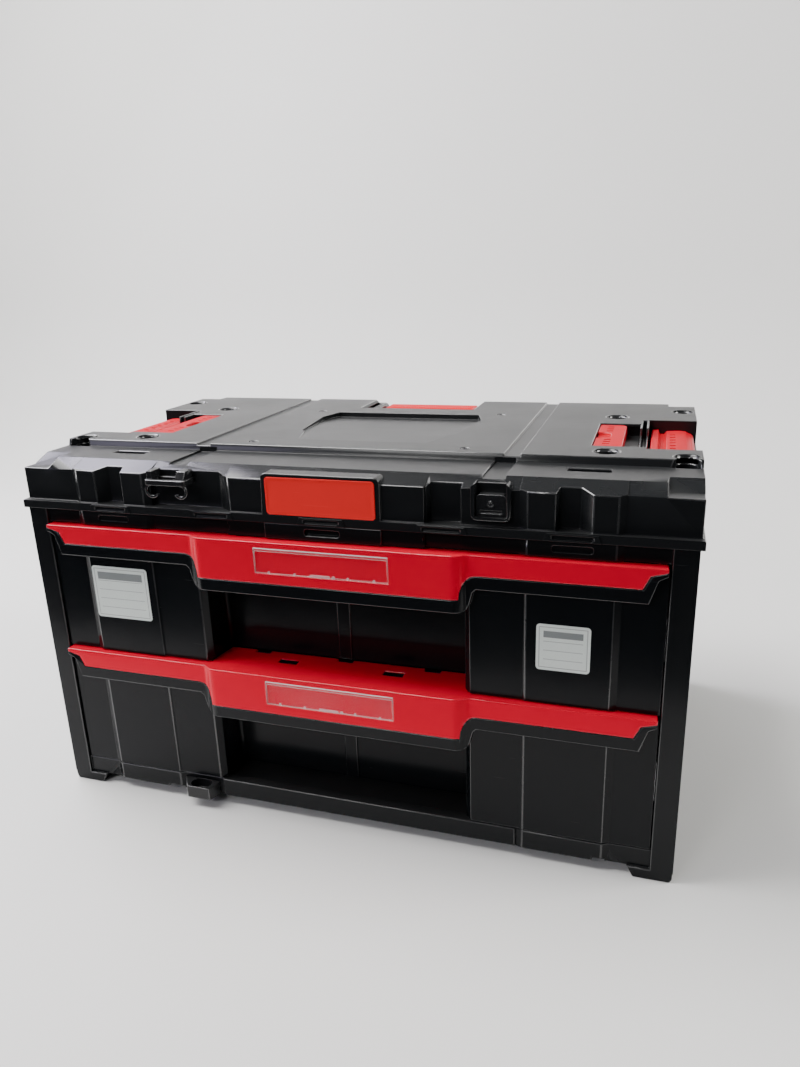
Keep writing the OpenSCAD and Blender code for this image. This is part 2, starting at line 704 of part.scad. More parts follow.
module cabinet_shell() color("#1b1c1e") placed() {
  difference() {
    union() {
      // Side walls, floor, rails and columns
      both_sides() block(side_x - wall, side_x, face_y, panel_y, foot_h, seam_z);
      block(-side_x + 1, side_x - 1, step_y, panel_y, foot_h, floor_z);
      both_sides() block(opening_x, side_x, face_y, rail_d, foot_h, seam_z);
      block(-side_x + 1, side_x - 1, step_y, rail_d, foot_h, base_h);
      block(-side_x + 1, side_x - 1, step_y, rail_d, rail_z, seam_z);
      both_sides() for (z = [[foot_h, base_h], [rail_z, seam_z]]) along_z(z[0], z[1]) polygon(
        [[pil_in0, step_y + over], [pil_in0, step_y], [pil_in1, face_y], [pil_out1, face_y],
        [pil_out0, step_y], [pil_out0, step_y + over]]);
      block(-rail_mid_x, pil_in0, face_y + 1, rail_d, foot_h, base_h);
      block(-mid_x, mid_x, face_y, rail_d, rail_z, seam_z);
      block(-plate_x - 4, plate_x + 4, 0.4, rail_d, rail_z, seam_z);
      // Rear frame that the back panel screws to
      both_sides() block(side_x - 14, side_x, panel_y - 12, panel_y, foot_h, seam_z);
      both_sides() for (y = [[face_y, foot_len], [panel_y - foot_len, panel_y]]) foot(y[0], y[1]);
      // Pads for the slide channels
      both_sides() for (z = slide_z, y = pad_ys)
        block(channel_face, side_x - 1, y, y + 20, z - 9, z + 9);
      // Bosses for the corner screws
      both_sides() for (y = [pocket_ya, pocket_yb]) {
        rod_z(pocket_x, y, seam_z - 26, seam_z, boss_r - 1);
        block(pocket_x, side_x - 1, y - 2, y + 2, seam_z - 26, seam_z);
      }
    }
    // Hollows inside columns and top rail
    both_sides()
      block(opening_x + wall, side_x - wall, face_y + wall, rail_d + over, floor_z, seam_z - wall);
    block(-opening_x, opening_x, step_y + wall, rail_d - 2, rail_z + 2, seam_z + over);
    base_cuts();
    both_sides() {
      for (y = [pocket_ya, pocket_yb]) rod_z(pocket_x, y, seam_z - 23, seam_z + over, 2.2 + fit);
      for (z = slide_z, y = pad_ys)
        rod_x(channel_face - over, channel_face + 10, y + 10, z, 1.7 + fit);
      for (z = back_screw_zs) rod_y(side_x - 7, z, panel_y - 10, panel_y + over, 1.7 + fit);
    }
    // Snap slots under the seam
    for (x = snap_xs) along_y(-over, face_y + 1.6) rounded(x - 15, x + 15, seam_z - 9, seam_z - 4, 2);
  }
}

back_screw_zs = [foot_h + 30, (foot_h + seam_z) / 2, seam_z - 24];

module back_panel() color("#1b1c1e") placed() {
  low = pivot_z - 12;
  top = seam_z - 0.1;
  difference() {
    union() {
      block(-side_x, side_x, panel_y, back_y, foot_h, top);
      block(-notch_x - wall, notch_x + wall, pocket_in_y - wall, panel_y + 1, low - wall, top);
      for (x = [-200, -120, 120, 200]) block(x - 2, x + 2, back_y - 1, back_y + 1.2, foot_h + 12, top - 12);
    }
    block(-notch_x, notch_x, pocket_in_y, body_d, low, seam_z + over);
    rod_x(-notch_x - 10, notch_x + 10, arm_y, pivot_z, pivot_r + fit);
    for (x = [7 - side_x, side_x - 7], z = back_screw_zs) rod_y(x, z, panel_y - over, body_d, 1.9);
  }
  // Bosses of the handle's pivots
  both_sides() difference() {
    rod_x(notch_x + wall - 0.5, notch_x + 10, arm_y, pivot_z, pivot_r + 2.5);
    rod_x(notch_x, notch_x + 9, arm_y, pivot_z, pivot_r + fit);
  }
}

module back_screws() color("#3a3c40") placed() {
  for (x = [7 - side_x, side_x - 7], z = back_screw_zs) {
    rod_y(x, z, back_y, back_y + 2, 3.6);
    rod_y(x, z, panel_y - 8, back_y + 1, 1.7);
  }
}

// ---- latches, locks and carry handle ------------------------------------------

// Drawn for the right side, in the closed position
module latch(right) color("#e03a34") placed() side(right) {
  y0 = bay_y0 + 2;
  y1 = bay_y1 - 2;
  tip_x = lever_x - lever_reach;
  top_z = lever_z + 7;
  tip_z = lever_z + 8;
  difference() {
    union() {
      rod_y(lever_x, lever_z, y0, y1, barrel_r);
      intersection() {
        // Pull lip at the tip, a finger groove behind it and the broad lever up to the pin
        along_y(y0, y1) polygon([[lever_x, lever_z - 2], [lever_x + 1, lever_z + barrel_r - 0.1],
          [lever_x - 3, top_z - 0.6], [lever_x - 9, top_z], [lever_x - 20, top_z - 0.6],
          [lever_x - 21.5, top_z - 3.4], [lever_x - 25.5, top_z - 3.4], [tip_x + 6, tip_z - 0.4],
          [tip_x + 1, tip_z], [tip_x, tip_z - 1], [tip_x, tip_z - lever_t - 2],
          [tip_x + 8, top_z - 3.4 - lever_t], [lever_x - 18, top_z - 3 - lever_t],
          [lever_x - 9, lever_z - 1]]);
        along_z(bay_floor, deck_z) union() {
          rounded(tip_x, lever_x, y0, y1, 10);
          translate([lever_x - 15, y0]) square([16, y1 - y0]);
        }
      }
    }
    // Step that the sliding lock's tongue lies over
    block(tip_x - over, tip_x + 6, tongue_y - tongue_w / 2 - 2, tongue_y + tongue_w / 2 + 2,
      lock_floor - 0.1, deck_z);
    // Row of small marks along the groove
    for (i = [-4 : 4])
      block(lever_x - 17, lever_x - 12, lock_y + i * 12, lock_y + i * 12 + 3, top_z - 1.4, deck_z);
    rod_y(lever_x, lever_z, y0 - over, y1 + over, latch_pin_r + fit);
  }
}

module left_latch() latch(false);
module right_latch() latch(true);

module latch_pin(right) color("#b9bcc0") placed() side(right)
  rod_y(lever_x, lever_z, bay_y0 - pin_over, bay_y1 + pin_over, latch_pin_r);

module left_latch_pin() latch_pin(false);
module right_latch_pin() latch_pin(true);

module lock(right) color("#e03a34") placed() side(right) {
  x1 = lock_x + lock_w;
  y0 = lock_y - lock_len / 2;
  y1 = lock_y + lock_len / 2;
  top_z = deck_z - 1.2;
  difference() {
    union() {
      along_z(lock_floor + 0.2, top_z) union() {
        rounded(lock_x, x1, y0, y1, 6);
        translate([lock_x, y0]) square([lock_w - 8, lock_len]);
      }
      // Foot that runs under the deck, and the tongue
      block(lock_x, x1, y0 - 3.6, y1 + 3.6, lock_floor + 0.2, lock_floor + 3.4);
      block(x1 - 1, x1 + 14, tongue_y - tongue_w / 2, tongue_y + tongue_w / 2,
        lock_floor + 0.2, lock_floor + 3.4);
    }
    // Hollow underside
    block(lock_x + 2.5, x1 - 2.5, y0 + 2.5, y1 - 2.5, lock_floor, top_z - lock_t);
    // Finger groove across the middle, with a row of grip grooves on each side
    along_z(top_z - 2.6, top_z + over) rounded(lock_x - 12, lock_x + 12, lock_y - 11, lock_y + 13, 8);
    for (i = [-4 : 4]) if (abs(i) > 1)
      block(lock_x + 7, lock_x + 13, lock_y + i * 9.5, lock_y + i * 9.5 + 2.6, top_z - 1, top_z + over);
  }
}

module left_lock() lock(false);
module right_lock() lock(true);

module carry_handle() color("#d32f3a") placed() {
  x = handle_w / 2;
  z0 = pivot_z + handle_len - grip_t;
  z1 = pivot_z + handle_len;
  difference() {
    union() {
      along_x(-x, x) rounded(arm_y - grip_d, arm_y + arm_t / 2 - 1, z0, z1, 5);
      both_sides() {
        block(x - 12, x, arm_y - arm_t / 2, arm_y + arm_t / 2 - 1, pivot_z, z1 - 6);
        rod_x(x - 12, x, arm_y, pivot_z, arm_t / 2);
      }
    }
    rod_x(-x - over, x + over, arm_y, pivot_z, pivot_r + fit);
    // Finger groove under the grip
    along_x(-x + 14, x - 14) translate([arm_y - grip_d / 2, z0 - 3]) circle(5);
  }
}

module handle_pins() color("#b9bcc0") placed() {
  both_sides() rod_x(handle_w / 2 - 10, notch_x + 8.5, arm_y, pivot_z, pivot_r);
}

// ---- drawers -------------------------------------------------------------------

// Elevations of the front, drawn in (x, h) with h from the front's lower edge
module red_elevation(grow) {
  sweep_w = sweep_end - 1 - grow;
  sweep_h = cap_low - grip_low - grow;
  sweep = [for (turn = [0:18:90])
    [grip_x + sweep_end - sweep_w * cos(turn), grip_low + sweep_h * sin(turn)]];
  both_sides() polygon(concat(
    [[0, front_h + 1], [0, grip_low - grow], [grip_x + 0.5, grip_low - grow]], sweep,
    [[cap_x - 17, cap_low - grow], [cap_x - 12 + grow, cap_low + 10.5 - grow],
    [cap_x - 1, cap_low + 13.5 - grow], [cap_x + grow, cap_low + 14], [cap_x + grow, front_h + 1]]));
}

module lip_elevation() {
  both_sides() polygon([[0, front_h - 3], [0, grip_low - lip_h], [grip_x + 2, grip_low - lip_h],
    [grip_x + 6, grip_low - lip_h + 1.5], [grip_x + 8.5, grip_low - lip_h + 5],
    [grip_x + 11.5, cap_low - lip_h - 2.5], [grip_x + 14, cap_low - lip_h],
    [cap_x - 12, cap_low - lip_h], [cap_x - 7, cap_low + 7.5],
    [cap_x - 1, cap_low + 10.5], [front_x, cap_low + 11], [front_x, front_h - 3]]);
}

// Plans of the front, drawn in (x, y), grown inwards by d
module front_plan(d, y_back) {
  x0 = grip_x - end_turn * d;
  x1 = x0 + end_run;
  polygon([[-cap_x + d, y_back], [-cap_x + d, d - strip_out], [-x1, d - strip_out],
    [-x0, d - grip_out + 0.5], [x0, d - grip_out + 0.5], [x1, d - strip_out],
    [cap_x - d, d - strip_out], [cap_x - d, y_back]]);
}

module panel_plan(d) {
  x0 = cavity_x - wall;
  both_sides() polygon([[x0, step_y - 1.8 + cavity_ease + d], [x0 + cavity_ease, step_y - 1.8 + d],
    [pil_in1 - 1.4, step_y - 1.8 + d], [pil_in1, face_y + d],
    [pil_out1, face_y + d], [pil_out0, step_y - 0.5 + d], [front_x, step_y - 0.5 + d],
    [front_x, step_y + wall + 1], [x0, step_y + wall + 1]]);
}

deck_t = 3;
cavity_back = cavity_d + 2;

module tub(z) color("#1c1d1f") placed() translate([0, 0, z]) {
  top = front_h - deck_t - 0.1;
  difference() {
    union() {
      // Front panels and the box behind them
      along_z(0, top) panel_plan(0);
      block(-tub_x, tub_x, step_y + wall, tub_back_y, 2, top - 6);
      both_sides() block(cavity_x - wall, cavity_x, step_y - 1.8 + cavity_ease, cavity_back, 0, top);
      block(-cavity_x, cavity_x, cavity_back, cavity_back + wall, 0, top);
      // Lip and the wall behind the red cover
      intersection() {
        along_y(-grip_out - over, step_y + 1) lip_elevation();
        along_z(0, front_h) front_plan(0, step_y);
      }
    }
    // Inside of the box
    difference() {
      block(-tub_x + tub_wall, tub_x - tub_wall, step_y + wall + 2, tub_back_y - tub_wall, 2 + tub_wall,
        front_h);
      block(-cavity_x, cavity_x, -grip_out, cavity_back + wall, 0, front_h);
    }
    // Finger cavity, open below and behind the lip
    block(-cavity_x + wall, cavity_x - wall, step_y - 2, cavity_back, -over, front_h);
    intersection() {
      block(-cavity_x + wall, cavity_x - wall, -grip_out, step_y, -over, front_h);
      along_z(-over, front_h) front_plan(2 * cap_t, step_y);
    }
    // Seat of the red cover
    intersection() {
      along_y(-grip_out - over, step_y) red_elevation(0.1);
      difference() {
        along_z(0, front_h + over) front_plan(-over, step_y);
        along_z(0, front_h + over) front_plan(cap_t + 0.1, step_y);
      }
    }
    // Slots that the cover's hooks snap into
    for (x = [-notch_pitch, 0, notch_pitch])
      block(x - 6, x + 6, cavity_back - over, cavity_back + wall + over, top - 8, top - 4);
    // Low rear wall
    block(-tub_x + 30, tub_x - 30, tub_back_y - tub_wall - over, tub_back_y + over, top - 26, front_h);
  }
  // Rib on the cavity's rear wall
  block(-6, 6, cavity_back - 1.6, cavity_back + 1, 0.2, top - 10);
}

module upper_tub() tub(upper_z);
module lower_tub() tub(lower_z);

module cap(z) color("#c4152f") placed() translate([0, 0, z]) {
  top = front_h;
  difference() {
    union() {
      intersection() {
        along_y(-grip_out - over, step_y) red_elevation(0);
        difference() {
          along_z(0, top) front_plan(0, step_y - 3);
          along_z(-over, top - deck_t) front_plan(cap_t, step_y);
        }
      }
      // Top plate: over the strips and back over the finger cavity
      along_z(top - deck_t, top) union() {
        front_plan(0, step_y + 2);
        polygon([[-cavity_x + 1, 0], [cavity_x - 1, 0], [cavity_x - 1, step_y + 8],
          [cavity_x - cap_corner, cavity_back - 0.2], [cap_corner - cavity_x, cavity_back - 0.2],
          [1 - cavity_x, step_y + 8]]);
      }
    }
    // Notches in the rear edge and slots in the top
    for (x = [-notch_pitch, 0, notch_pitch])
      block(x - 7, x + 7, cavity_back - 5, cavity_back + over, 0, top + over);
    for (x = [-slot_x, slot_x]) {
      block(x - slot_len / 2, x + slot_len / 2, slot_y - slot_w, slot_y, 0, top + over);
      block(x - slot_len / 2 - 3, x + slot_len / 2 + 3, slot_y - slot_w - 3, slot_y + 3, 0, top - slot_web);
    }
    // Seat of the label holder
    block(-window_w / 2 - snug, window_w / 2 + snug, -grip_out - over, -grip_out + 1.6, window_z - snug,
      window_z + window_h + snug);
  }
}

window_z = front_h - 5 - window_h;
// Slant of the cover's rear corners
cap_corner = 5;

module upper_cap() cap(upper_z);
module lower_cap() cap(lower_z);

module window(z) color([0.9, 0.92, 0.95, 0.5]) placed() translate([0, 0, z]) {
  w = window_w / 2;
  difference() {
    block(-w, w, -grip_out, -grip_out + 1.6, window_z, window_z + window_h);
    block(-w + 2, w - 2, -grip_out - over, -grip_out + 0.7, window_z + 2, window_z + window_h - 2);
  }
}

module upper_window() window(upper_z);
module lower_window() window(lower_z);

// ---- slides --------------------------------------------------------------------

// Slide sections are drawn in (u, w): u from the wall side towards the drawer, w up
module slide_frame(right, z) {
  side(right) translate([channel_face, 0, z]) mirror([1, 0, 0]) children();
}

module channel_section() {
  h = slide_h / 2;
  translate([0, -h]) square([gauge, 2 * h]);
  for (s = [-1, 1]) {
    translate([0, s > 0 ? h - gauge : -h]) square([lip_out_u + gauge, gauge]);
    translate([lip_out_u, s > 0 ? ball_w - 0.8 : -h]) square([gauge, h - ball_w + 0.8]);
  }
}

module runner_section() {
  h = race_in;
  lip_h = 1.3;
  translate([slide_t - gauge, -h]) square([gauge, 2 * h]);
  for (s = [-1, 1]) {
    translate([lip_in_u, s > 0 ? h - gauge : -h]) square([slide_t - lip_in_u, gauge]);
    translate([lip_in_u, s > 0 ? h - gauge : -h - lip_h]) square([lip_t, gauge + lip_h]);
  }
}

module channel(right, z) color("#aeb3b8") placed() slide_frame(right, z) {
  difference() {
    along_y(slide_y0, slide_y0 + slide_len) channel_section();
    for (y = pad_ys) rod_x(-over, 4, y + 10, 0, 2.1);
  }
}

module upper_left_channel() channel(false, upper_z + slide_mid);
module upper_right_channel() channel(true, upper_z + slide_mid);
module lower_left_channel() channel(false, lower_z + slide_mid);
module lower_right_channel() channel(true, lower_z + slide_mid);

module runner(right, z) color("#c3c8cc") placed() slide_frame(right, z)
  along_y(slide_y0, slide_y0 + slide_len) runner_section();

module upper_left_runner() runner(false, upper_z + slide_mid);
module upper_right_runner() runner(true, upper_z + slide_mid);
module lower_left_runner() runner(false, lower_z + slide_mid);
module lower_right_runner() runner(true, lower_z + slide_mid);

module slide_screws() color("#8b8f94") placed() {
  for (z = slide_z, y = pad_ys, right = [false, true]) slide_frame(right, z) {
    rod_x(gauge, gauge + screw_head, y + 10, 0, 3.6);
    rod_x(-8, gauge + 1, y + 10, 0, 1.7);
  }
}

function ball_y(i) = cage_mid + (i - (balls - 1) / 2) * ball_pitch;

module cage(right, z) slide_frame(right, z) difference() {
  h = ball_w + 0.4;
  along_y(cage_mid - cage_len / 2, cage_mid + cage_len / 2) union() {
    translate([cage_u, -h]) square([cage_t, 2 * h]);
    for (s = [-1, 1]) translate([cage_u, s > 0 ? h - cage_t : -h]) square([cage_end_u - cage_u, cage_t]);
  }
  for (i = [0 : balls - 1]) rod_z(ball_u, ball_y(i), -slide_h, slide_h, ball_r + 0.15);
}

module ball_rows(right, z) slide_frame(right, z)
  for (i = [0 : balls - 1], s = [-1, 1]) translate([ball_u, ball_y(i), s * ball_w]) sphere(ball_r);

module cages(z) color("#d8b25a") placed() for (right = [false, true]) cage(right, z);
module ball_set(z) color("#e3e6e9") placed() for (right = [false, true]) ball_rows(right, z);

module upper_cages() cages(upper_z + slide_mid);
module lower_cages() cages(lower_z + slide_mid);
module upper_balls() ball_set(upper_z + slide_mid);
module lower_balls() ball_set(lower_z + slide_mid);

// ---- paper labels ----------------------------------------------------------------

module label(x, z, w, h) color("#eef0ee") placed()
  along_y(face_y - 0.25, face_y) rounded(x, x + w, z, z + h, 3);

label_w = [57, 41];
label_h = [49.5, 38.5];
label_low = [34, 29.5];

module left_label() label(-pil_out1 + 0.8, upper_z + label_low[0], label_w[0], label_h[0]);
module right_label() label(pil_in1 + 8.5, upper_z + label_low[1], label_w[1], label_h[1]);

// ---- all nodes --------------------------------------------------------------------

cabinet_shell();
back_panel();
back_screws();
top_shell();
deck_stiffener();
deck_screws();
corner_screws();
name_plate();
bar_loop();
loop_screws();
loop_blank();
bar_socket();
left_latch_pin();
right_latch_pin();
handle_pins();
upper_left_channel();
upper_right_channel();
lower_left_channel();
lower_right_channel();
slide_screws();
left_latch();
right_latch();
left_lock();
right_lock();
carry_handle();
upper_tub();
upper_cap();
upper_window();
upper_left_runner();
upper_right_runner();
left_label();
right_label();
upper_cages();
upper_balls();
lower_tub();
lower_cap();
lower_window();
lower_left_runner();
lower_right_runner();
lower_cages();
lower_balls();
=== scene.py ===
import math
import bmesh
import bpy
from mathutils import Matrix, Vector, noise
from mathutils.bvhtree import BVHTree
from mathutils.kdtree import KDTree


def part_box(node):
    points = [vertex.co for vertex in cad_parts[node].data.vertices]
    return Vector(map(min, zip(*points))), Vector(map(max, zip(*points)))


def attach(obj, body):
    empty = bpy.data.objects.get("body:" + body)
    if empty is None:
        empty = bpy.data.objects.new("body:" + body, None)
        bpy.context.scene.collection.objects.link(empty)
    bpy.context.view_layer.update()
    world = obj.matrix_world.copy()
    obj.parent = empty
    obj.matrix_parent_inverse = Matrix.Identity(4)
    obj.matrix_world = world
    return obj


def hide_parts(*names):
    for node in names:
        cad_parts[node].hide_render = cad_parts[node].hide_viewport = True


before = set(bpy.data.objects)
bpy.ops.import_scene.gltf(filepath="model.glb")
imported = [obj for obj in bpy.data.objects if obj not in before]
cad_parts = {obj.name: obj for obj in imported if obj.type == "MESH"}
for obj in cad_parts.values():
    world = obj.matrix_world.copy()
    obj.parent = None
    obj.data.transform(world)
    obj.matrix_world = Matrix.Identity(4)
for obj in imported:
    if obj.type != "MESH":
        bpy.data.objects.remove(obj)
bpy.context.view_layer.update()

# --- Camera -------------------------------------------------------------------
# Held by hand a little above the lid, in front of the box's right half, and
# turned towards its middle.

camera = bpy.data.objects.new("camera", bpy.data.cameras.new("camera"))
bpy.context.scene.collection.objects.link(camera)
to_right = Vector((0.9541, 0.2979, -0.032)).normalized()
ahead = Vector((-0.2929, 0.9049, -0.3089)).normalized()
upward = to_right.cross(ahead).normalized()
to_right = ahead.cross(upward).normalized()
camera.matrix_world = Matrix.Translation((0.25, -0.7432, 0.4766)) @ Matrix(
    (to_right, upward, -ahead)).transposed().to_4x4()
camera.data.lens = 27.42
camera.data.sensor_width = 36
camera.data.clip_start = 0.02
bpy.context.scene.camera = camera

# --- Room ---------------------------------------------------------------------
# A table under pale matt cloth, which hangs over its front edge and runs up behind
# the box in one sweep. Soft boxes stand above, at the sides and far out in front;
# the rest of the room stays dim, so the black fronts have little to mirror.

TABLE_EDGE, EDGE_ROUND = -0.47, 0.03
SWEEP_START, SWEEP_ROUND = 0.9, 0.45
CLOTH_HEM, CLOTH_TOP = -0.75, 1.4
HALF_WIDTH = 3.2


def smooth_mesh(name, shape, crease=None):
    """The mesh of a finished shape, smooth but for creases of more than so many degrees."""
    mesh = bpy.data.meshes.new(name)
    shape.to_mesh(mesh)
    shape.free()
    mesh.shade_smooth()
    if crease:
        mesh.set_sharp_from_angle(angle=math.radians(crease))
    return mesh


sweep_line = [(TABLE_EDGE - EDGE_ROUND, CLOTH_HEM)]
for step in range(9):
    turn = math.radians(90 * step / 8)
    sweep_line.append((TABLE_EDGE - EDGE_ROUND * math.cos(turn), -EDGE_ROUND + EDGE_ROUND * math.sin(turn)))
sweep_line.append((SWEEP_START, 0.0))
for step in range(1, 13):
    turn = math.radians(90 * step / 12)
    sweep_line.append((SWEEP_START + SWEEP_ROUND * math.sin(turn),
                       SWEEP_ROUND - SWEEP_ROUND * math.cos(turn)))
sweep_line.append((SWEEP_START + SWEEP_ROUND, CLOTH_TOP))
sweep = bmesh.new()
sweep_sides = [[sweep.verts.new((x, y, z)) for y, z in sweep_line] for x in (-HALF_WIDTH, HALF_WIDTH)]
for a, b, c, d in zip(sweep_sides[0], sweep_sides[0][1:], sweep_sides[1][1:], sweep_sides[1]):
    sweep.faces.new((a, d, c, b))
sweep_mesh = smooth_mesh("cloth_sweep", sweep)
cloth_sweep = bpy.data.objects.new("cloth_sweep", sweep_mesh)
bpy.context.scene.collection.objects.link(cloth_sweep)
matt_cloth = bpy.data.materials.new("matt_cloth")
matt_cloth.use_nodes = True
cloth_shader = matt_cloth.node_tree.nodes["Principled BSDF"]
cloth_shader.inputs["Base Color"].default_value = (0.82, 0.815, 0.8, 1)
cloth_shader.inputs["Roughness"].default_value = 0.95
sweep_mesh.materials.append(matt_cloth)


def soft_box(name, place, aim, size, watts, tint=(1, 1, 1)):
    """A lamp with a broad, soft face, turned to what it lights."""
    lamp = bpy.data.objects.new(name, bpy.data.lights.new(name, "AREA"))
    lamp.data.shape = "RECTANGLE"
    lamp.data.size, lamp.data.size_y = size
    lamp.data.energy = watts
    lamp.data.color = tint
    lamp.location = place
    lamp.rotation_euler = (Vector(aim) - Vector(place)).to_track_quat("-Z", "Y").to_euler()
    bpy.context.scene.collection.objects.link(lamp)


soft_box("lamp_above", (-1.25, -0.1, 1.95), (0, 0.05, 0.1), (1.5, 2.1), 116, (1, 0.99, 0.985))
soft_box("lamp_left", (-1.2, 0.6, 1.38), (-0.18, -0.15, 0.33), (0.4, 0.36), 9, (0.84, 0.8, 1))
soft_box("lamp_corner", (-2.0, -2.65, 1.5), (-0.15, -0.1, 0.33), (1.1, 0.5), 11, (0.8, 0.76, 1))
soft_box("lamp_right", (1.9, 0.2, 1.5), (0.5, 0, 0), (0.9, 0.9), 34, (1, 0.99, 0.96))
soft_box("lamp_front", (-0.7, -2.3, 1.7), (0, 0, 0.2), (0.7, 0.5), 13)
room = bpy.context.scene.world or bpy.data.worlds.new("room")
bpy.context.scene.world = room
room.use_nodes = True
room_light = room.node_tree.nodes["Background"]
room_light.inputs["Color"].default_value = (0.9, 0.95, 1, 1)
room_light.inputs["Strength"].default_value = 0.06

# --- Cabinet shell --------------------------------------------------------------
# The lower housing: side walls, floor, base rail and front columns in one piece
# of black polypropylene, moulded upside down, with a small radius on every edge.

SHELL_EDGES = [0.0009, 0.0005]
WELD = 5e-6  # points closer than this are one
FLAT = math.radians(0.3)  # a bend that doesn't count
SHARP = math.radians(24)  # a bend that gets a round
CRUMB = 2e-10  # a face too small to count as folded, in square metres
FOLDED = 0.15  # less agreement than this with the skin below is a fold
TRIES = 7


def rounded_moulding(node, widths, segments=2, corners=(), reshape=None):
    """The solid of a node as a moulding. It can be reshaped first. Broad corners are
    turned next, and then each sharp edge gets a round. Where a round would fold over
    a close neighbour, that edge waits for the next, smaller width."""
    plain = bmesh.new()
    plain.from_mesh(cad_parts[node].data)
    bmesh.ops.remove_doubles(plain, verts=plain.verts, dist=WELD)
    plain.faces.layers.float.new("round_edge")
    plain.faces.layers.int.new("broad")
    if reshape:
        reshape(plain)
    bmesh.ops.dissolve_limit(plain, angle_limit=FLAT, verts=plain.verts, edges=plain.edges)
    for belongs, width in corners:
        plain.normal_update()
        turned = [e for e in plain.edges if len(e.link_faces) == 2 and belongs(e)]
        made = bmesh.ops.bevel(plain, geom=turned, offset=width, offset_type="OFFSET", segments=5,
                               profile=0.5, affect="EDGES", clamp_overlap=True)
        for face in made["faces"]:
            face[plain.faces.layers.int["broad"]] = 1
    for width in widths:
        bmesh.ops.dissolve_limit(plain, angle_limit=FLAT, verts=plain.verts, edges=plain.edges)
        bmesh.ops.connect_verts_concave(plain, faces=plain.faces)
        plain.normal_update()
        skin = BVHTree.FromBMesh(plain)
        facing = [face.normal.copy() for face in plain.faces]
        left_sharp = set()
        for attempt in range(TRIES):
            shape = plain.copy()
            shape.edges.ensure_lookup_table()
            flag = shape.faces.layers.float["round_edge"]
            rounds = [e for e in shape.edges if len(e.link_faces) == 2 and e.index not in left_sharp
                      and abs(e.calc_face_angle(0)) > SHARP
                      and not (e.link_faces[0][flag] and e.link_faces[1][flag])]
            along = KDTree(sum(2 + int(e.calc_length() / width) for e in rounds))
            owner = []
            for e in rounds:
                steps = 1 + int(e.calc_length() / width)
                for i in range(steps + 1):
                    along.insert(e.verts[0].co.lerp(e.verts[1].co, i / steps), len(owner))
                    owner.append(e.index)
            along.balance()
            made = bmesh.ops.bevel(shape, geom=rounds, offset=width, offset_type="OFFSET",
                                   segments=segments, profile=0.5, affect="EDGES", clamp_overlap=False)
            probe = shape.copy()
            bmesh.ops.triangulate(probe, faces=probe.faces)
            folded = set()
            for face in probe.faces:
                if face.calc_area() < CRUMB:
                    continue
                _, _, index, gap = skin.find_nearest(face.calc_center_median())
                if gap > width or face.normal.dot(facing[index]) < FOLDED:
                    folded.update(vert.co.copy().freeze() for vert in face.verts)
            probe.free()
            if not folded:
                break
            for point in folded:
                for _, index, _ in along.find_range(point, 1.05 * width):
                    left_sharp.add(owner[index])
            if attempt < TRIES - 1:
                shape.free()
        for face in made["faces"]:
            face[flag] = 1
        plain.free()
        plain = shape
    flag = plain.faces.layers.float["round_edge"]
    broad = plain.faces.layers.int["broad"]
    plain.normal_update()
    for e in plain.edges:
        flat = [face for face in e.link_faces if not face[flag] and not face[broad]]
        bend = math.degrees(abs(e.calc_face_angle(0)))
        e.smooth = bend < 1 or bend < 60 and len(flat) < 2
    low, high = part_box(node)
    for vert in plain.verts:
        for i in range(3):
            vert.co[i] = min(max(vert.co[i], low[i]), high[i])
    hollow = [face for face in plain.faces if face[flag]
              and sum(e.calc_face_angle_signed(0) * e.calc_length() for e in face.edges) < 0]
    for face in hollow:
        face[flag] = 0
    for face in plain.faces:
        face.smooth = True
    mesh = bpy.data.meshes.new(node + "_moulded")
    plain.to_mesh(mesh)
    plain.free()
    return mesh


def fit_piece(name, mesh, finish, body, node):
    """One piece of the box, in its finish, moving with its body, in place of a plain solid."""
    piece = bpy.data.objects.new(name, mesh)
    bpy.context.scene.collection.objects.link(piece)
    mesh.materials.append(finish)
    even = piece.modifiers.new("even_faces", "WEIGHTED_NORMAL")
    even.keep_sharp = True
    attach(piece, body)
    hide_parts(node)


def new_finish(name):
    """A new material: itself, its node tree, its shader and its place on the piece."""
    finish = bpy.data.materials.new(name)
    finish.use_nodes = True
    tree = finish.node_tree
    return finish, tree, tree.nodes["Principled BSDF"], tree.nodes.new("ShaderNodeTexCoord")


def noise_over(tree, place, scale, detail):
    """Noise over the piece, finer with a larger scale."""
    field = tree.nodes.new("ShaderNodeTexNoise")
    field.inputs["Scale"].default_value = scale
    field.inputs["Detail"].default_value = detail
    tree.links.new(place, field.inputs["Vector"])
    return field.outputs["Fac"]


def sum_of(tree, kind, *values):
    """One step of sums on plain numbers and node outputs."""
    step = tree.nodes.new("ShaderNodeMath")
    step.operation = kind
    for socket, value in zip(step.inputs, values):
        if isinstance(value, (int, float)):
            socket.default_value = value
        else:
            tree.links.new(value, socket)
    return step.outputs["Value"]


def ranged(tree, value, taken=(0, 1), given=(0, 1)):
    """A value taken from one range and given in another, held at both ends."""
    step = tree.nodes.new("ShaderNodeMapRange")
    for name, end in zip(("From Min", "From Max", "To Min", "To Max"), (*taken, *given)):
        step.inputs[name].default_value = end
    tree.links.new(value, step.inputs["Value"])
    return step.outputs["Result"]


def mixed(tree, share, first, second):
    """Two colours mixed by a share: each is a plain colour or a node output."""
    mix = tree.nodes.new("ShaderNodeMix")
    mix.data_type = "RGBA"
    for name, colour in (("A", first), ("B", second)):
        if isinstance(colour, tuple):
            mix.inputs[name].default_value = (*colour, 1)
        else:
            tree.links.new(colour, mix.inputs[name])
    tree.links.new(share, mix.inputs["Factor"])
    return mix.outputs["Result"]


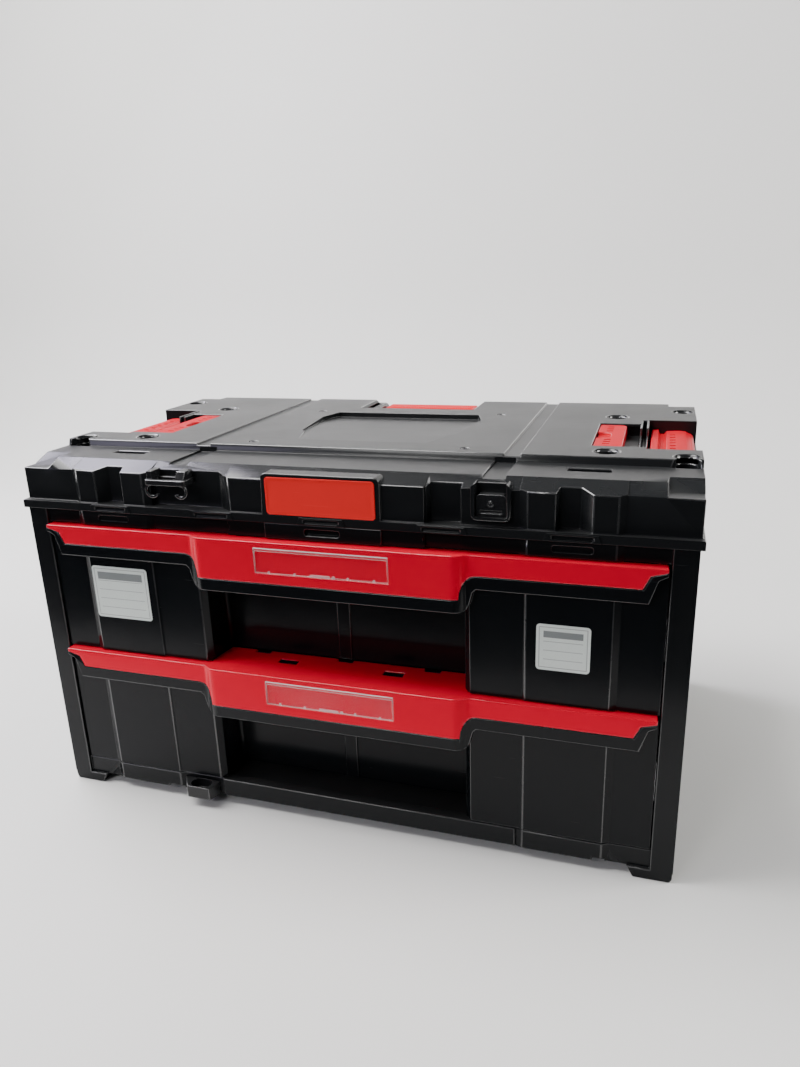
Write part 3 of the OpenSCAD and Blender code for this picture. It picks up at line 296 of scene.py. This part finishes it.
def bumped(tree, height, strength, distance, base=None):
    """Fine relief over the plain surface, or over a base that is uneven already."""
    bump = tree.nodes.new("ShaderNodeBump")
    bump.inputs["Strength"].default_value = strength
    bump.inputs["Distance"].default_value = distance
    tree.links.new(height, bump.inputs["Height"])
    if base:
        tree.links.new(base, bump.inputs["Normal"])
    return bump.outputs["Normal"]


def moulded_plastic(name, colour, second, gloss, shine, grain, dust, edge_wear_and_highlight, glint=0.9,
                    sheen_tint=(1, 1, 1)):
    """Plastic straight from the mould: fine spark grain, faint flow marks, fine rub
    marks, polished edges painted paler (partly wear, partly a painted highlight),
    and a film of dust on what faces up."""
    plastic, tree, shader, place = new_finish(name)
    new, link = tree.nodes.new, tree.links.new
    shader.inputs["IOR"].default_value = 1.49
    shader.inputs["Specular IOR Level"].default_value = shine
    shader.inputs["Specular Tint"].default_value = (*sheen_tint, 1)
    shader.inputs["Coat IOR"].default_value = 1.9
    shader.inputs["Coat Roughness"].default_value = 0.14
    spot = place.outputs["Object"]

    flow = noise_over(tree, spot, 11, 3)
    rounds = new("ShaderNodeAttribute")
    rounds.attribute_name = "round_edge"
    on_edge = rounds.outputs["Fac"]
    link(sum_of(tree, "MULTIPLY", on_edge, glint), shader.inputs["Coat Weight"])
    # The rounded edges are painted paler in patches, partly as wear and partly as a painted highlight.
    patchy_edge = sum_of(tree, "MULTIPLY", on_edge, noise_over(tree, spot, 70, 4))
    paler = tuple(min(1, 0.1 + 1.3 * part) for part in colour)
    wear_and_highlight_colour = mixed(tree, sum_of(tree, "MULTIPLY", patchy_edge, edge_wear_and_highlight),
                        mixed(tree, flow, colour, second), paler)
    upright = new("ShaderNodeSeparateXYZ")
    link(place.outputs["Normal"], upright.inputs["Vector"])
    faces_up = ranged(tree, upright.outputs["Z"], taken=(0.88, 1))
    film = sum_of(tree, "MULTIPLY", faces_up, noise_over(tree, spot, 26, 6))
    link(mixed(tree, sum_of(tree, "MULTIPLY", film, dust), wear_and_highlight_colour, (0.3, 0.3, 0.285)),
         shader.inputs["Base Color"])

    stretch = new("ShaderNodeMapping")
    stretch.inputs["Rotation"].default_value = (0.3, 0.5, 0.2)
    stretch.inputs["Scale"].default_value = (25, 900, 500)
    link(spot, stretch.inputs["Vector"])
    rub_marks = ranged(tree, noise_over(tree, stretch.outputs["Vector"], 1, 2), taken=(0.64, 0.8))
    rough = ranged(tree, flow, given=(gloss - 0.05, gloss + 0.06))
    rubbed = sum_of(tree, "MULTIPLY_ADD", rub_marks, 0.1, rough)
    link(sum_of(tree, "MULTIPLY_ADD", faces_up, 0.2, rubbed), shader.inputs["Roughness"])

    corner = new("ShaderNodeBevel")
    corner.samples = 6
    corner.inputs["Radius"].default_value = 0.0009
    sink = bumped(tree, noise_over(tree, spot, 22, 1), 0.25, 0.001, corner.outputs["Normal"])
    link(bumped(tree, noise_over(tree, spot, 1800, 2), grain, 0.00006, sink), shader.inputs["Normal"])
    return plastic


cabinet_black = moulded_plastic("cabinet_black", (0.006, 0.0068, 0.0078), (0.0085, 0.0093, 0.0103),
                                gloss=0.2, shine=0.17, grain=0.3, dust=0.06, edge_wear_and_highlight=0.4, glint=0.45)
fit_piece("cabinet_shell_moulding", rounded_moulding("cabinet_shell", SHELL_EDGES), cabinet_black,
          "cabinet", "cabinet_shell")

# --- Back panel -----------------------------------------------------------------
# A ribbed sheet of the same plastic that closes the cabinet behind the drawers.
# It drops into the rear frame and is held by screws round its edge.

fit_piece("back_panel_moulding", rounded_moulding("back_panel", SHELL_EDGES), cabinet_black,
          "cabinet", "back_panel")

# --- Top shell ------------------------------------------------------------------
# The upper housing with its deck, latch bays, handle notch and sloped front is
# one moulding too. It sits on the cabinet along the seam flange.

shell_black = moulded_plastic("shell_black", (0.0085, 0.0092, 0.0102), (0.0115, 0.0125, 0.0135),
                              gloss=0.17, shine=0.3, grain=0.3, dust=0.055, edge_wear_and_highlight=0.4, glint=0.65)
fit_piece("top_shell_moulding", rounded_moulding("top_shell", SHELL_EDGES), shell_black,
          "cabinet", "top_shell")

# --- Deck stiffener -------------------------------------------------------------
# A folded cross piece under the deck, out of sight, in recycled black plastic
# with a coarse grain. The deck screws draw it up against the deck.


def refinish(node, finish):
    """A solid that is shown itself, in its own finish."""
    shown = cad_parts[node].data
    shown.materials.clear()
    shown.materials.append(finish)


stiffener_black = moulded_plastic("stiffener_black", (0.012, 0.012, 0.013), (0.02, 0.02, 0.021),
                                  gloss=0.5, shine=0.4, grain=0.9, dust=0.05, edge_wear_and_highlight=0.3)
refinish("deck_stiffener", stiffener_black)

# --- Screws of the housing ------------------------------------------------------
# Pan head screws for plastic, steel with a black oxide finish, each with a
# cross recess: in the deck, in the corner pockets, at the loop and at the back.

AROUND = 40


def join_loops(shape, loops):
    """Faces between each closed loop of points and the next."""
    for outer, inner in zip(loops, loops[1:]):
        for i in range(len(outer)):
            j = (i + 1) % len(outer)
            shape.faces.new((outer[i], outer[j], inner[j], inner[i]))


def pan_head_screws(node, axis):
    """A screw in place of each solid of the node: domed head, cross recess, shank."""
    solids = bmesh.new()
    solids.from_mesh(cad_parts[node].data)
    bmesh.ops.remove_doubles(solids, verts=solids.verts, dist=WELD)
    seen = set()
    spots = []
    for start in solids.verts:
        if start in seen:
            continue
        seen.add(start)
        group, queue = [], [start]
        while queue:
            vert = queue.pop()
            group.append(vert.co)
            for e in vert.link_edges:
                other = e.other_vert(vert)
                if other not in seen:
                    seen.add(other)
                    queue.append(other)
        low = Vector([min(co[i] for co in group) for i in range(3)])
        high = Vector([max(co[i] for co in group) for i in range(3)])
        spots.append((low, high))
    solids.free()
    out = Vector(axis)
    main = max(range(3), key=lambda i: abs(out[i]))
    across = [i for i in range(3) if i != main]
    made = bmesh.new()
    for low, high in spots:
        middle = (low + high) / 2
        head = min(high[i] - low[i] for i in across) / 2
        length = high[main] - low[main]
        tip = middle + out * (length / 2)
        side = Vector([1.0 if i == across[0] else 0.0 for i in range(3)])
        up = out.cross(side)
        tall = min(0.42 * head + 0.0006, 0.4 * length)
        shank, arm, recess = 0.45 * head, 0.13 * head, 0.55 * tall
        profile = [(shank, tall - length), (shank, -tall), (head, -tall), (head, -0.62 * tall),
                   (0.93 * head, -0.33 * tall), (0.78 * head, -0.12 * tall)]
        profile += [(head * share, -0.03 * tall)
                    for share in (0.62, 0.55, 0.5, 0.45, 0.38, 0.3, 0.22, 0.16, 0.11, 0.06)]
        loops = []
        for radius, rise in profile:
            loops.append([])
            for i in range(AROUND):
                turn = 2 * math.pi * i / AROUND + math.pi / 4
                u, v = radius * math.cos(turn), radius * math.sin(turn)
                in_cross = radius < 0.5 * head and min(abs(u), abs(v)) < arm
                depth = rise - recess if in_cross else rise
                loops[-1].append(made.verts.new(tip + side * u + up * v + out * depth))
        join_loops(made, loops)
        made.faces.new(loops[-1])
    bmesh.ops.recalc_face_normals(made, faces=made.faces)
    return smooth_mesh(node + "_turned", made, 40)


def plated_steel(name, tint, gloss, streak, spangle):
    """Steel sheet or wire under a thin coat, with rolling streaks and a faint spangle."""
    steel, tree, shader, place = new_finish(name)
    new, link = tree.nodes.new, tree.links.new
    shader.inputs["Metallic"].default_value = 1
    grains = new("ShaderNodeTexVoronoi")
    grains.inputs["Scale"].default_value = spangle
    link(place.outputs["Object"], grains.inputs["Vector"])
    rolled = new("ShaderNodeMapping")
    rolled.inputs["Scale"].default_value = streak
    link(place.outputs["Object"], rolled.inputs["Vector"])
    lines = noise_over(tree, rolled.outputs["Vector"], 1, 4)
    darker = tuple(0.8 * part for part in tint)
    link(mixed(tree, grains.outputs["Distance"], darker, tint), shader.inputs["Base Color"])
    link(ranged(tree, lines, given=(gloss - 0.08, gloss + 0.1)), shader.inputs["Roughness"])
    link(bumped(tree, lines, 0.3, 0.00004), shader.inputs["Normal"])
    return steel


oxide_black = plated_steel("oxide_black", (0.09, 0.09, 0.095), 0.42, (300, 300, 300), 900)
for place, axis in (("deck", (0, 0, 1)), ("corner", (0, 0, 1)), ("loop", (0, -1, 0)), ("back", (0, 1, 0))):
    fit_piece(place + "_screw_heads", pan_head_screws(place + "_screws", axis), oxide_black,
              "cabinet", place + "_screws")

# --- Badge ----------------------------------------------------------------------
# The blank badge in the middle of the front: an orange-red plate with a raised
# rim and a slightly crowned face, glued into its seat. Heights are in millimetres.

BADGE_RADIUS = 0.003
BADGE_HEIGHT = 1.15

low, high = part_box("name_plate")
badge = bmesh.new()
badge_loops = []
for inset, height in ((0, 0), (0, 1.0), (0.0003, 1.15), (0.0011, 1.15), (0.0015, 0.92), (0.004, 0.9),
                      (0.009, 1.0)):
    radius = max(BADGE_RADIUS - inset, 0.0012)
    y = high.y - (high.y - low.y) * height / BADGE_HEIGHT
    loop = []
    for to_side, to_top, first in ((1, 1, 0), (-1, 1, 90), (-1, -1, 180), (1, -1, 270)):
        x = (high.x + low.x) / 2 + to_side * ((high.x - low.x) / 2 - inset - radius)
        z = (high.z + low.z) / 2 + to_top * ((high.z - low.z) / 2 - inset - radius)
        for i in range(7):
            turn = math.radians(first + 15 * i)
            loop.append(badge.verts.new((x + radius * math.cos(turn), y, z + radius * math.sin(turn))))
    badge_loops.append(loop)
join_loops(badge, badge_loops)
badge.faces.new(badge_loops[-1])
badge.faces.new(list(reversed(badge_loops[0])))
bmesh.ops.recalc_face_normals(badge, faces=badge.faces)
badge_mesh = smooth_mesh("badge", badge, 45)
badge_red = moulded_plastic("badge_red", (0.98, 0.032, 0.03), (1.0, 0.038, 0.036),
                            gloss=0.24, shine=0.25, grain=0.2, dust=0.02, edge_wear_and_highlight=0.2, glint=0.3,
                            sheen_tint=(1, 0.4, 0.3))
fit_piece("badge", badge_mesh, badge_red, "cabinet", "name_plate")

# --- Tie-down loop and its blanking tab -------------------------------------------
# A small black loop on the left of the front that a locking bar goes through,
# and the tab that fills the same seat on the right. Harder, glossier nylon.

LOOP_EDGES = [0.0005, 0.0003]
loop_black = moulded_plastic("loop_black", (0.009, 0.0095, 0.0105), (0.013, 0.0135, 0.0145),
                             gloss=0.2, shine=0.45, grain=0.2, dust=0.03, edge_wear_and_highlight=0.6)
fit_piece("tie_loop", rounded_moulding("bar_loop", LOOP_EDGES), loop_black, "cabinet", "bar_loop")
fit_piece("tie_blank", rounded_moulding("loop_blank", LOOP_EDGES), loop_black, "cabinet",
          "loop_blank")

# --- Bar socket -------------------------------------------------------------------
# The socket under the front rail that takes the foot of that bar. It is clipped
# into the base rail and made of the same nylon as the loop.

fit_piece("foot_socket", rounded_moulding("bar_socket", [0.0008, 0.0004]), loop_black, "cabinet",
          "bar_socket")

# --- Side latches -----------------------------------------------------------------
# Two red levers on steel pins in the deck's side bays and the sliding locks
# beside them, in tough satin nylon. They hold the box that is stacked on top.

latch_red = moulded_plastic("latch_red", (0.5, 0.003, 0.014), (0.56, 0.004, 0.018),
                            gloss=0.34, shine=0.1, grain=0.3, dust=0.01, edge_wear_and_highlight=0.15, glint=0.3,
                            sheen_tint=(1, 0.3, 0.3))
pin_steel = plated_steel("pin_steel", (0.62, 0.62, 0.64), 0.24, (900, 30, 900), 500)
for hand in ("left", "right"):
    fit_piece(hand + "_lever", rounded_moulding(hand + "_latch", [0.0009]), latch_red,
              hand + "_lever", hand + "_latch")
    fit_piece(hand + "_slide_button", rounded_moulding(hand + "_lock", [0.0009]), latch_red,
              hand + "_slider", hand + "_lock")
    refinish(hand + "_latch_pin", pin_steel)

# --- Carry handle -----------------------------------------------------------------
# The folding handle at the back: a thick hollow grip on two arms that turn on
# steel pins. It lies flat in its notch until it is lifted.

handle_red = moulded_plastic("handle_red", (0.6, 0.005, 0.012), (0.66, 0.008, 0.016),
                             gloss=0.36, shine=0.12, grain=0.5, dust=0.01, edge_wear_and_highlight=0.15, glint=0.2,
                             sheen_tint=(1, 0.3, 0.3))
fit_piece("grip_handle", rounded_moulding("carry_handle", [0.002], segments=3), handle_red,
          "handle", "carry_handle")
refinish("handle_pins", pin_steel)

# --- Drawer slides ----------------------------------------------------------------
# Ball bearing slides in bright zinc on rolled steel: a channel on the wall, a
# runner on the drawer, and a pressed cage with two rows of balls between them.

slide_zinc = plated_steel("slide_zinc", (0.66, 0.67, 0.69), 0.36, (600, 8, 600), 320)
cage_zinc = plated_steel("cage_zinc", (0.58, 0.59, 0.6), 0.42, (600, 12, 600), 420)
ball_polish = plated_steel("ball_polish", (0.78, 0.78, 0.8), 0.16, (200, 200, 200), 800)
for level in ("upper", "lower"):
    for part, finish in (("left_channel", slide_zinc), ("right_channel", slide_zinc),
                         ("left_runner", slide_zinc), ("right_runner", slide_zinc),
                         ("cages", cage_zinc), ("balls", ball_polish)):
        refinish(level + "_" + part, finish)
refinish("slide_screws", slide_zinc)

# --- Drawers ----------------------------------------------------------------------
# Each drawer is a deep black tub with its front panels, the finger cavity and
# the grip's lip in one moulding, a shade glossier than the housing.

GRIP_FRONT = -0.1765  # what lies before this is the skin of the grip and the side strips
GRIP_STEP = 0.0055  # how far the grip stands out before the side strips
GRIP_END, FULL_REACH = 0.112, 0.0045
GRIP_FOOT, HOLLOW_REACH = 0.1185, 0.003
CURVE_FROM, CURVE_TO = 0.1075, 0.1215
STRIP = 0.0013
TUB_EDGES = [0.0008, 0.0005]
CAVITY_ROUND = 0.004


def eased(past, reach):
    """How much a bend adds when it is spread over its reach on both sides."""
    return (past + reach) ** 2 / (4 * reach) - max(past, 0) if abs(past) < reach else 0


def curve_grip_ends(shape):
    """The grip's face turns back at both ends in a full curve and a hollow one behind
    it. The skin is cut across in narrow strips, which are then set on that curve."""
    for side in (-1, 1):
        marks = {round(side * vert.co.x, 5) for vert in shape.verts
                 if vert.co.y < GRIP_FRONT and CURVE_FROM + 0.0002 < side * vert.co.x < CURVE_TO - 0.0002}
        marks = [CURVE_FROM, *sorted(marks), CURVE_TO]
        for near, far in zip(marks, marks[1:]):
            strips = max(1, math.ceil((far - near) / STRIP))
            for i in range(strips + (far == marks[-1])):
                skin = [face for face in shape.faces if min(vert.co.y for vert in face.verts) < GRIP_FRONT]
                edges = dict.fromkeys(e for face in skin for e in face.edges)
                verts = dict.fromkeys(vert for face in skin for vert in face.verts)
                bmesh.ops.bisect_plane(shape, geom=[*verts, *edges, *skin], dist=2e-6,
                                       plane_co=(side * (near + (far - near) * i / strips), 0, 0),
                                       plane_no=(1, 0, 0))
    for vert in shape.verts:
        if vert.co.y < GRIP_FRONT:
            out = abs(vert.co.x)
            bend = eased(out - GRIP_END, FULL_REACH) - eased(out - GRIP_FOOT, HOLLOW_REACH)
            vert.co.y += bend * GRIP_STEP / (GRIP_FOOT - GRIP_END)
    shape.normal_update()
    for face in shape.faces:
        middle = face.calc_center_median()
        if abs(face.normal.z) < 0.3 and middle.y < GRIP_FRONT and CURVE_FROM < abs(middle.x) < CURVE_TO:
            face[shape.faces.layers.int["broad"]] = 1


def cavity_corner(e):
    """The hollow upright corners at the back of the finger cavity."""
    top, foot = e.verts[0].co, e.verts[1].co
    upright = abs(top.z - foot.z) > 0.95 * e.calc_length() > 0.003
    at_the_back = 0.112 < abs(top.x) < 0.119 and -0.139 < top.y < -0.135
    return upright and at_the_back and e.calc_face_angle_signed(0) < 0


drawer_black = moulded_plastic("drawer_black", (0.0037, 0.0046, 0.0058), (0.0056, 0.0065, 0.0076),
                               gloss=0.18, shine=0.155, grain=0.2, dust=0.03, edge_wear_and_highlight=0.4, glint=0.5)
for level in ("upper", "lower"):
    tub_mesh = rounded_moulding(level + "_tub", TUB_EDGES, corners=[(cavity_corner, CAVITY_ROUND)],
                                reshape=curve_grip_ends)
    fit_piece(level + "_drawer_tub", tub_mesh, drawer_black, level + "_drawer", level + "_tub")

# --- Red covers -------------------------------------------------------------------
# A glossy red cover is clipped over the top of each drawer front. It forms the
# grip in the middle and the narrow strips with pointed ends at the sides.

cover_red = moulded_plastic("cover_red", (0.8, 0.0003, 0.028), (0.85, 0.0005, 0.033),
                            gloss=0.13, shine=0.2, grain=0.12, dust=0.004, edge_wear_and_highlight=0.0, glint=0.85,
                            sheen_tint=(1, 0.08, 0.14))
for level in ("upper", "lower"):
    cap_mesh = rounded_moulding(level + "_cap", [0.0007, 0.0004], reshape=curve_grip_ends)
    fit_piece(level + "_red_cover", cap_mesh, cover_red, level + "_drawer", level + "_cap")

# --- Label holders ----------------------------------------------------------------
# Clear covers that hold a paper strip on each grip: a thin pane in a thick, polished
# rim with small snap bumps along its lower side, pressed into a shallow seat. The
# rim's white edges are painted edge light, brighter at the top and dimmer at the foot,
# and the panes' haze is partly scuffing and partly a painted reflection.

RIM_TOP = 0.0028
RIM_SIDE = 0.001
SNAP_BUMPS = ((-0.045, 0.0012), (-0.022, 0.0012), (0.0, 0.009), (0.0118, 0.0016), (0.024, 0.0012),
              (0.046, 0.0012))
PANE_COLUMNS, PANE_ROWS = 24, 6
# How hazy each pane's face is, partly scuffing and partly a painted reflection, the lower one more so.
PANE_HAZE_AND_REFLECTION = {"upper": 0.02, "lower": 0.11}


def clear_styrene(name, thin, thick, haze_and_reflection):
    """Clear polystyrene: see-through on its faces, white along its edges by painted
    edge light, with a smeared haze that is partly scuffing and partly a painted reflection.
    """
    styrene, tree, shader, place = new_finish(name)
    shader.inputs["Base Color"].default_value = (0.97, 0.94, 0.95, 1)
    shader.inputs["IOR"].default_value = 1.59
    smear = noise_over(tree, place.outputs["Object"], 34, 4)
    painted_edge_light = tree.nodes.new("ShaderNodeAttribute")
    painted_edge_light.attribute_name = "painted_edge_light"
    # Painted edge light: the white plastic grows opaque where its edges are marked as lit.
    painted_edge_alpha = ranged(tree, painted_edge_light.outputs["Fac"], given=(thin, thick))
    painted_light_and_haze = sum_of(tree, "MULTIPLY_ADD", smear, haze_and_reflection, painted_edge_alpha)
    painted_light_and_haze.node.use_clamp = True
    tree.links.new(painted_light_and_haze, shader.inputs["Alpha"])
    tree.links.new(ranged(tree, smear, given=(0.04, 0.16)), shader.inputs["Roughness"])
    tree.links.new(bumped(tree, smear, 0.3, 0.0004), shader.inputs["Normal"])
    return styrene


rim_clear = clear_styrene("rim_clear", 0.06, 0.8, 0.12)
for level in ("upper", "lower"):
    low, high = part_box(level + "_window")
    front, back = low.y, high.y
    seat, lintel = low.z + RIM_SIDE, high.z - RIM_TOP
    holder = bmesh.new()
    lit = holder.verts.layers.float.new("painted_edge_light")
    loops = []
    # Each ring of the rim: how far in, how deep, its corner radius and the painted edge light it carries.
    for share, y, radius, light in (
            (0, back, 0.0008, 0.4), (0, front + 0.0004, 0.0008, 0.8), (0.12, front + 0.0001, 0.0006, 0.8),
            (0.24, front, 0.0005, 0.1), (0.8, front, 0.0005, 0.0), (0.9, front + 0.0001, 0.0004, 0.7),
            (1, front + 0.0004, 0.0004, 0.7), (1, back, 0.0004, 0.3)):
        left, right = low.x + share * RIM_SIDE, high.x - share * RIM_SIDE
        foot, head = low.z + share * RIM_SIDE, high.z - share * RIM_TOP
        loop = []
        for x, z, first in ((right - radius, head - radius, 0), (left + radius, head - radius, 90),
                            (left + radius, foot + radius, 180), (right - radius, foot + radius, 270)):
            for step in range(5):
                turn = math.radians(step * 22.5) + math.radians(first)
                loop.append(holder.verts.new((x + radius * math.cos(turn), y, z + radius * math.sin(turn))))
                # The edge light is painted, at a third of its strength on the lower corners, where less
                # light falls.
                loop[-1][lit] = light if first < 180 else 0.35 * light  # dimmer at the foot
        loops.append(loop)
    join_loops(holder, loops)
    for centre, half in SNAP_BUMPS:
        rows = []
        for rise, depth in ((-0.0006, 0.0004), (0.0004, 0.0003), (0.0011, 0.0005), (0.0014, 0.001)):
            rows.append([holder.verts.new((centre + side * (half - 0.0004 * (rise > 0.001)), front + depth,
                                           seat + rise)) for side in (-1, -0.6, 0, 0.6, 1)])
            for vert in rows[-1]:
                # The snap bumps carry a little painted edge light too.
                vert[lit] = 0.3
        for below, over in zip(rows, rows[1:]):
            for a, b, c, d in zip(below, below[1:], over[1:], over):
                holder.faces.new((a, b, c, d))
    bmesh.ops.recalc_face_normals(holder, faces=holder.faces)
    fit_piece(level + "_label_rim", smooth_mesh(level + "_rim", holder, 50), rim_clear,
              level + "_drawer", level + "_window")
    pane = bmesh.new()
    columns = []
    for i in range(PANE_COLUMNS + 1):
        x = low.x + RIM_SIDE + (high.x - low.x - 2 * RIM_SIDE) * i / PANE_COLUMNS
        columns.append([])
        for j in range(PANE_ROWS + 1):
            z = seat + (lintel - seat) * j / PANE_ROWS
            uneven = 1 + 0.4 * noise.noise(Vector((60 * x, 0, 60 * z)))
            bow = 0.00012 * math.sin(math.pi * j / PANE_ROWS) * uneven
            columns[-1].append(pane.verts.new((x, front + 0.0009 - bow, z)))
    for near, far in zip(columns, columns[1:]):
        for a, b, c, d in zip(near, near[1:], far[1:], far):
            pane.faces.new((a, d, c, b))
    pane_clear = clear_styrene(level + "_pane_clear", 0, 0.3, PANE_HAZE_AND_REFLECTION[level])
    fit_piece(level + "_label_pane", smooth_mesh(level + "_pane", pane), pane_clear,
              level + "_drawer", level + "_window")

# --- Blank labels -----------------------------------------------------------------
# Two blank write-on labels of coated paper stuck to the upper drawer's front
# panels, with rounded corners, a fine printed frame and faint ruled lines.

FRAME_FROM, FRAME_TO = 0.0021, 0.0027
MARGIN = 0.0055
RULE = 0.0005
LINE_INK, BAR_INK = 0.55, 0.8


def write_on_paper(name, sheet, pitch, head):
    """Coated white paper with a printed frame, ruled lines and an empty grey heading bar."""
    low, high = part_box(sheet)
    paper, tree, shader, place = new_finish(name)
    fibre = noise_over(tree, place.outputs["Object"], 900, 3)
    white = mixed(tree, fibre, (0.74, 0.8, 0.76), (0.82, 0.88, 0.84))
    along = tree.nodes.new("ShaderNodeSeparateXYZ")
    tree.links.new(place.outputs["Object"], along.inputs["Vector"])
    x, z = along.outputs["X"], along.outputs["Z"]

    def sums(kind, first, second):
        return sum_of(tree, kind, first, second)

    inset = sums("MINIMUM", sums("MINIMUM", sums("SUBTRACT", x, low.x), sums("SUBTRACT", high.x, x)),
                 sums("MINIMUM", sums("SUBTRACT", z, low.z), sums("SUBTRACT", high.z, z)))
    frame_line = sums("MULTIPLY", sums("GREATER_THAN", inset, FRAME_FROM),
                      sums("LESS_THAN", inset, FRAME_TO))
    inside = sums("GREATER_THAN", inset, MARGIN)
    rule = sums("LESS_THAN", sums("MODULO", sums("SUBTRACT", z, low.z + 0.0015), pitch), RULE)
    drop = sums("SUBTRACT", high.z, z)
    bar = sums("MULTIPLY", sums("LESS_THAN", drop, head), inside)
    ruled = sums("MULTIPLY", sums("MULTIPLY", rule, inside), sums("GREATER_THAN", drop, head))
    lines = sums("MULTIPLY", sums("MAXIMUM", frame_line, ruled), LINE_INK)
    printed = sums("MAXIMUM", lines, sums("MULTIPLY", bar, BAR_INK))
    tree.links.new(mixed(tree, printed, white, (0.1, 0.11, 0.12)), shader.inputs["Base Color"])
    tree.links.new(ranged(tree, fibre, given=(0.36, 0.5)), shader.inputs["Roughness"])
    tree.links.new(bumped(tree, fibre, 0.2, 0.00005), shader.inputs["Normal"])
    return paper


for hand, pitch, head in (("left", 0.0085, 0.0125), ("right", 0.0075, 0.011)):
    refinish(hand + "_label", write_on_paper(hand + "_label_paper", hand + "_label", pitch, head))
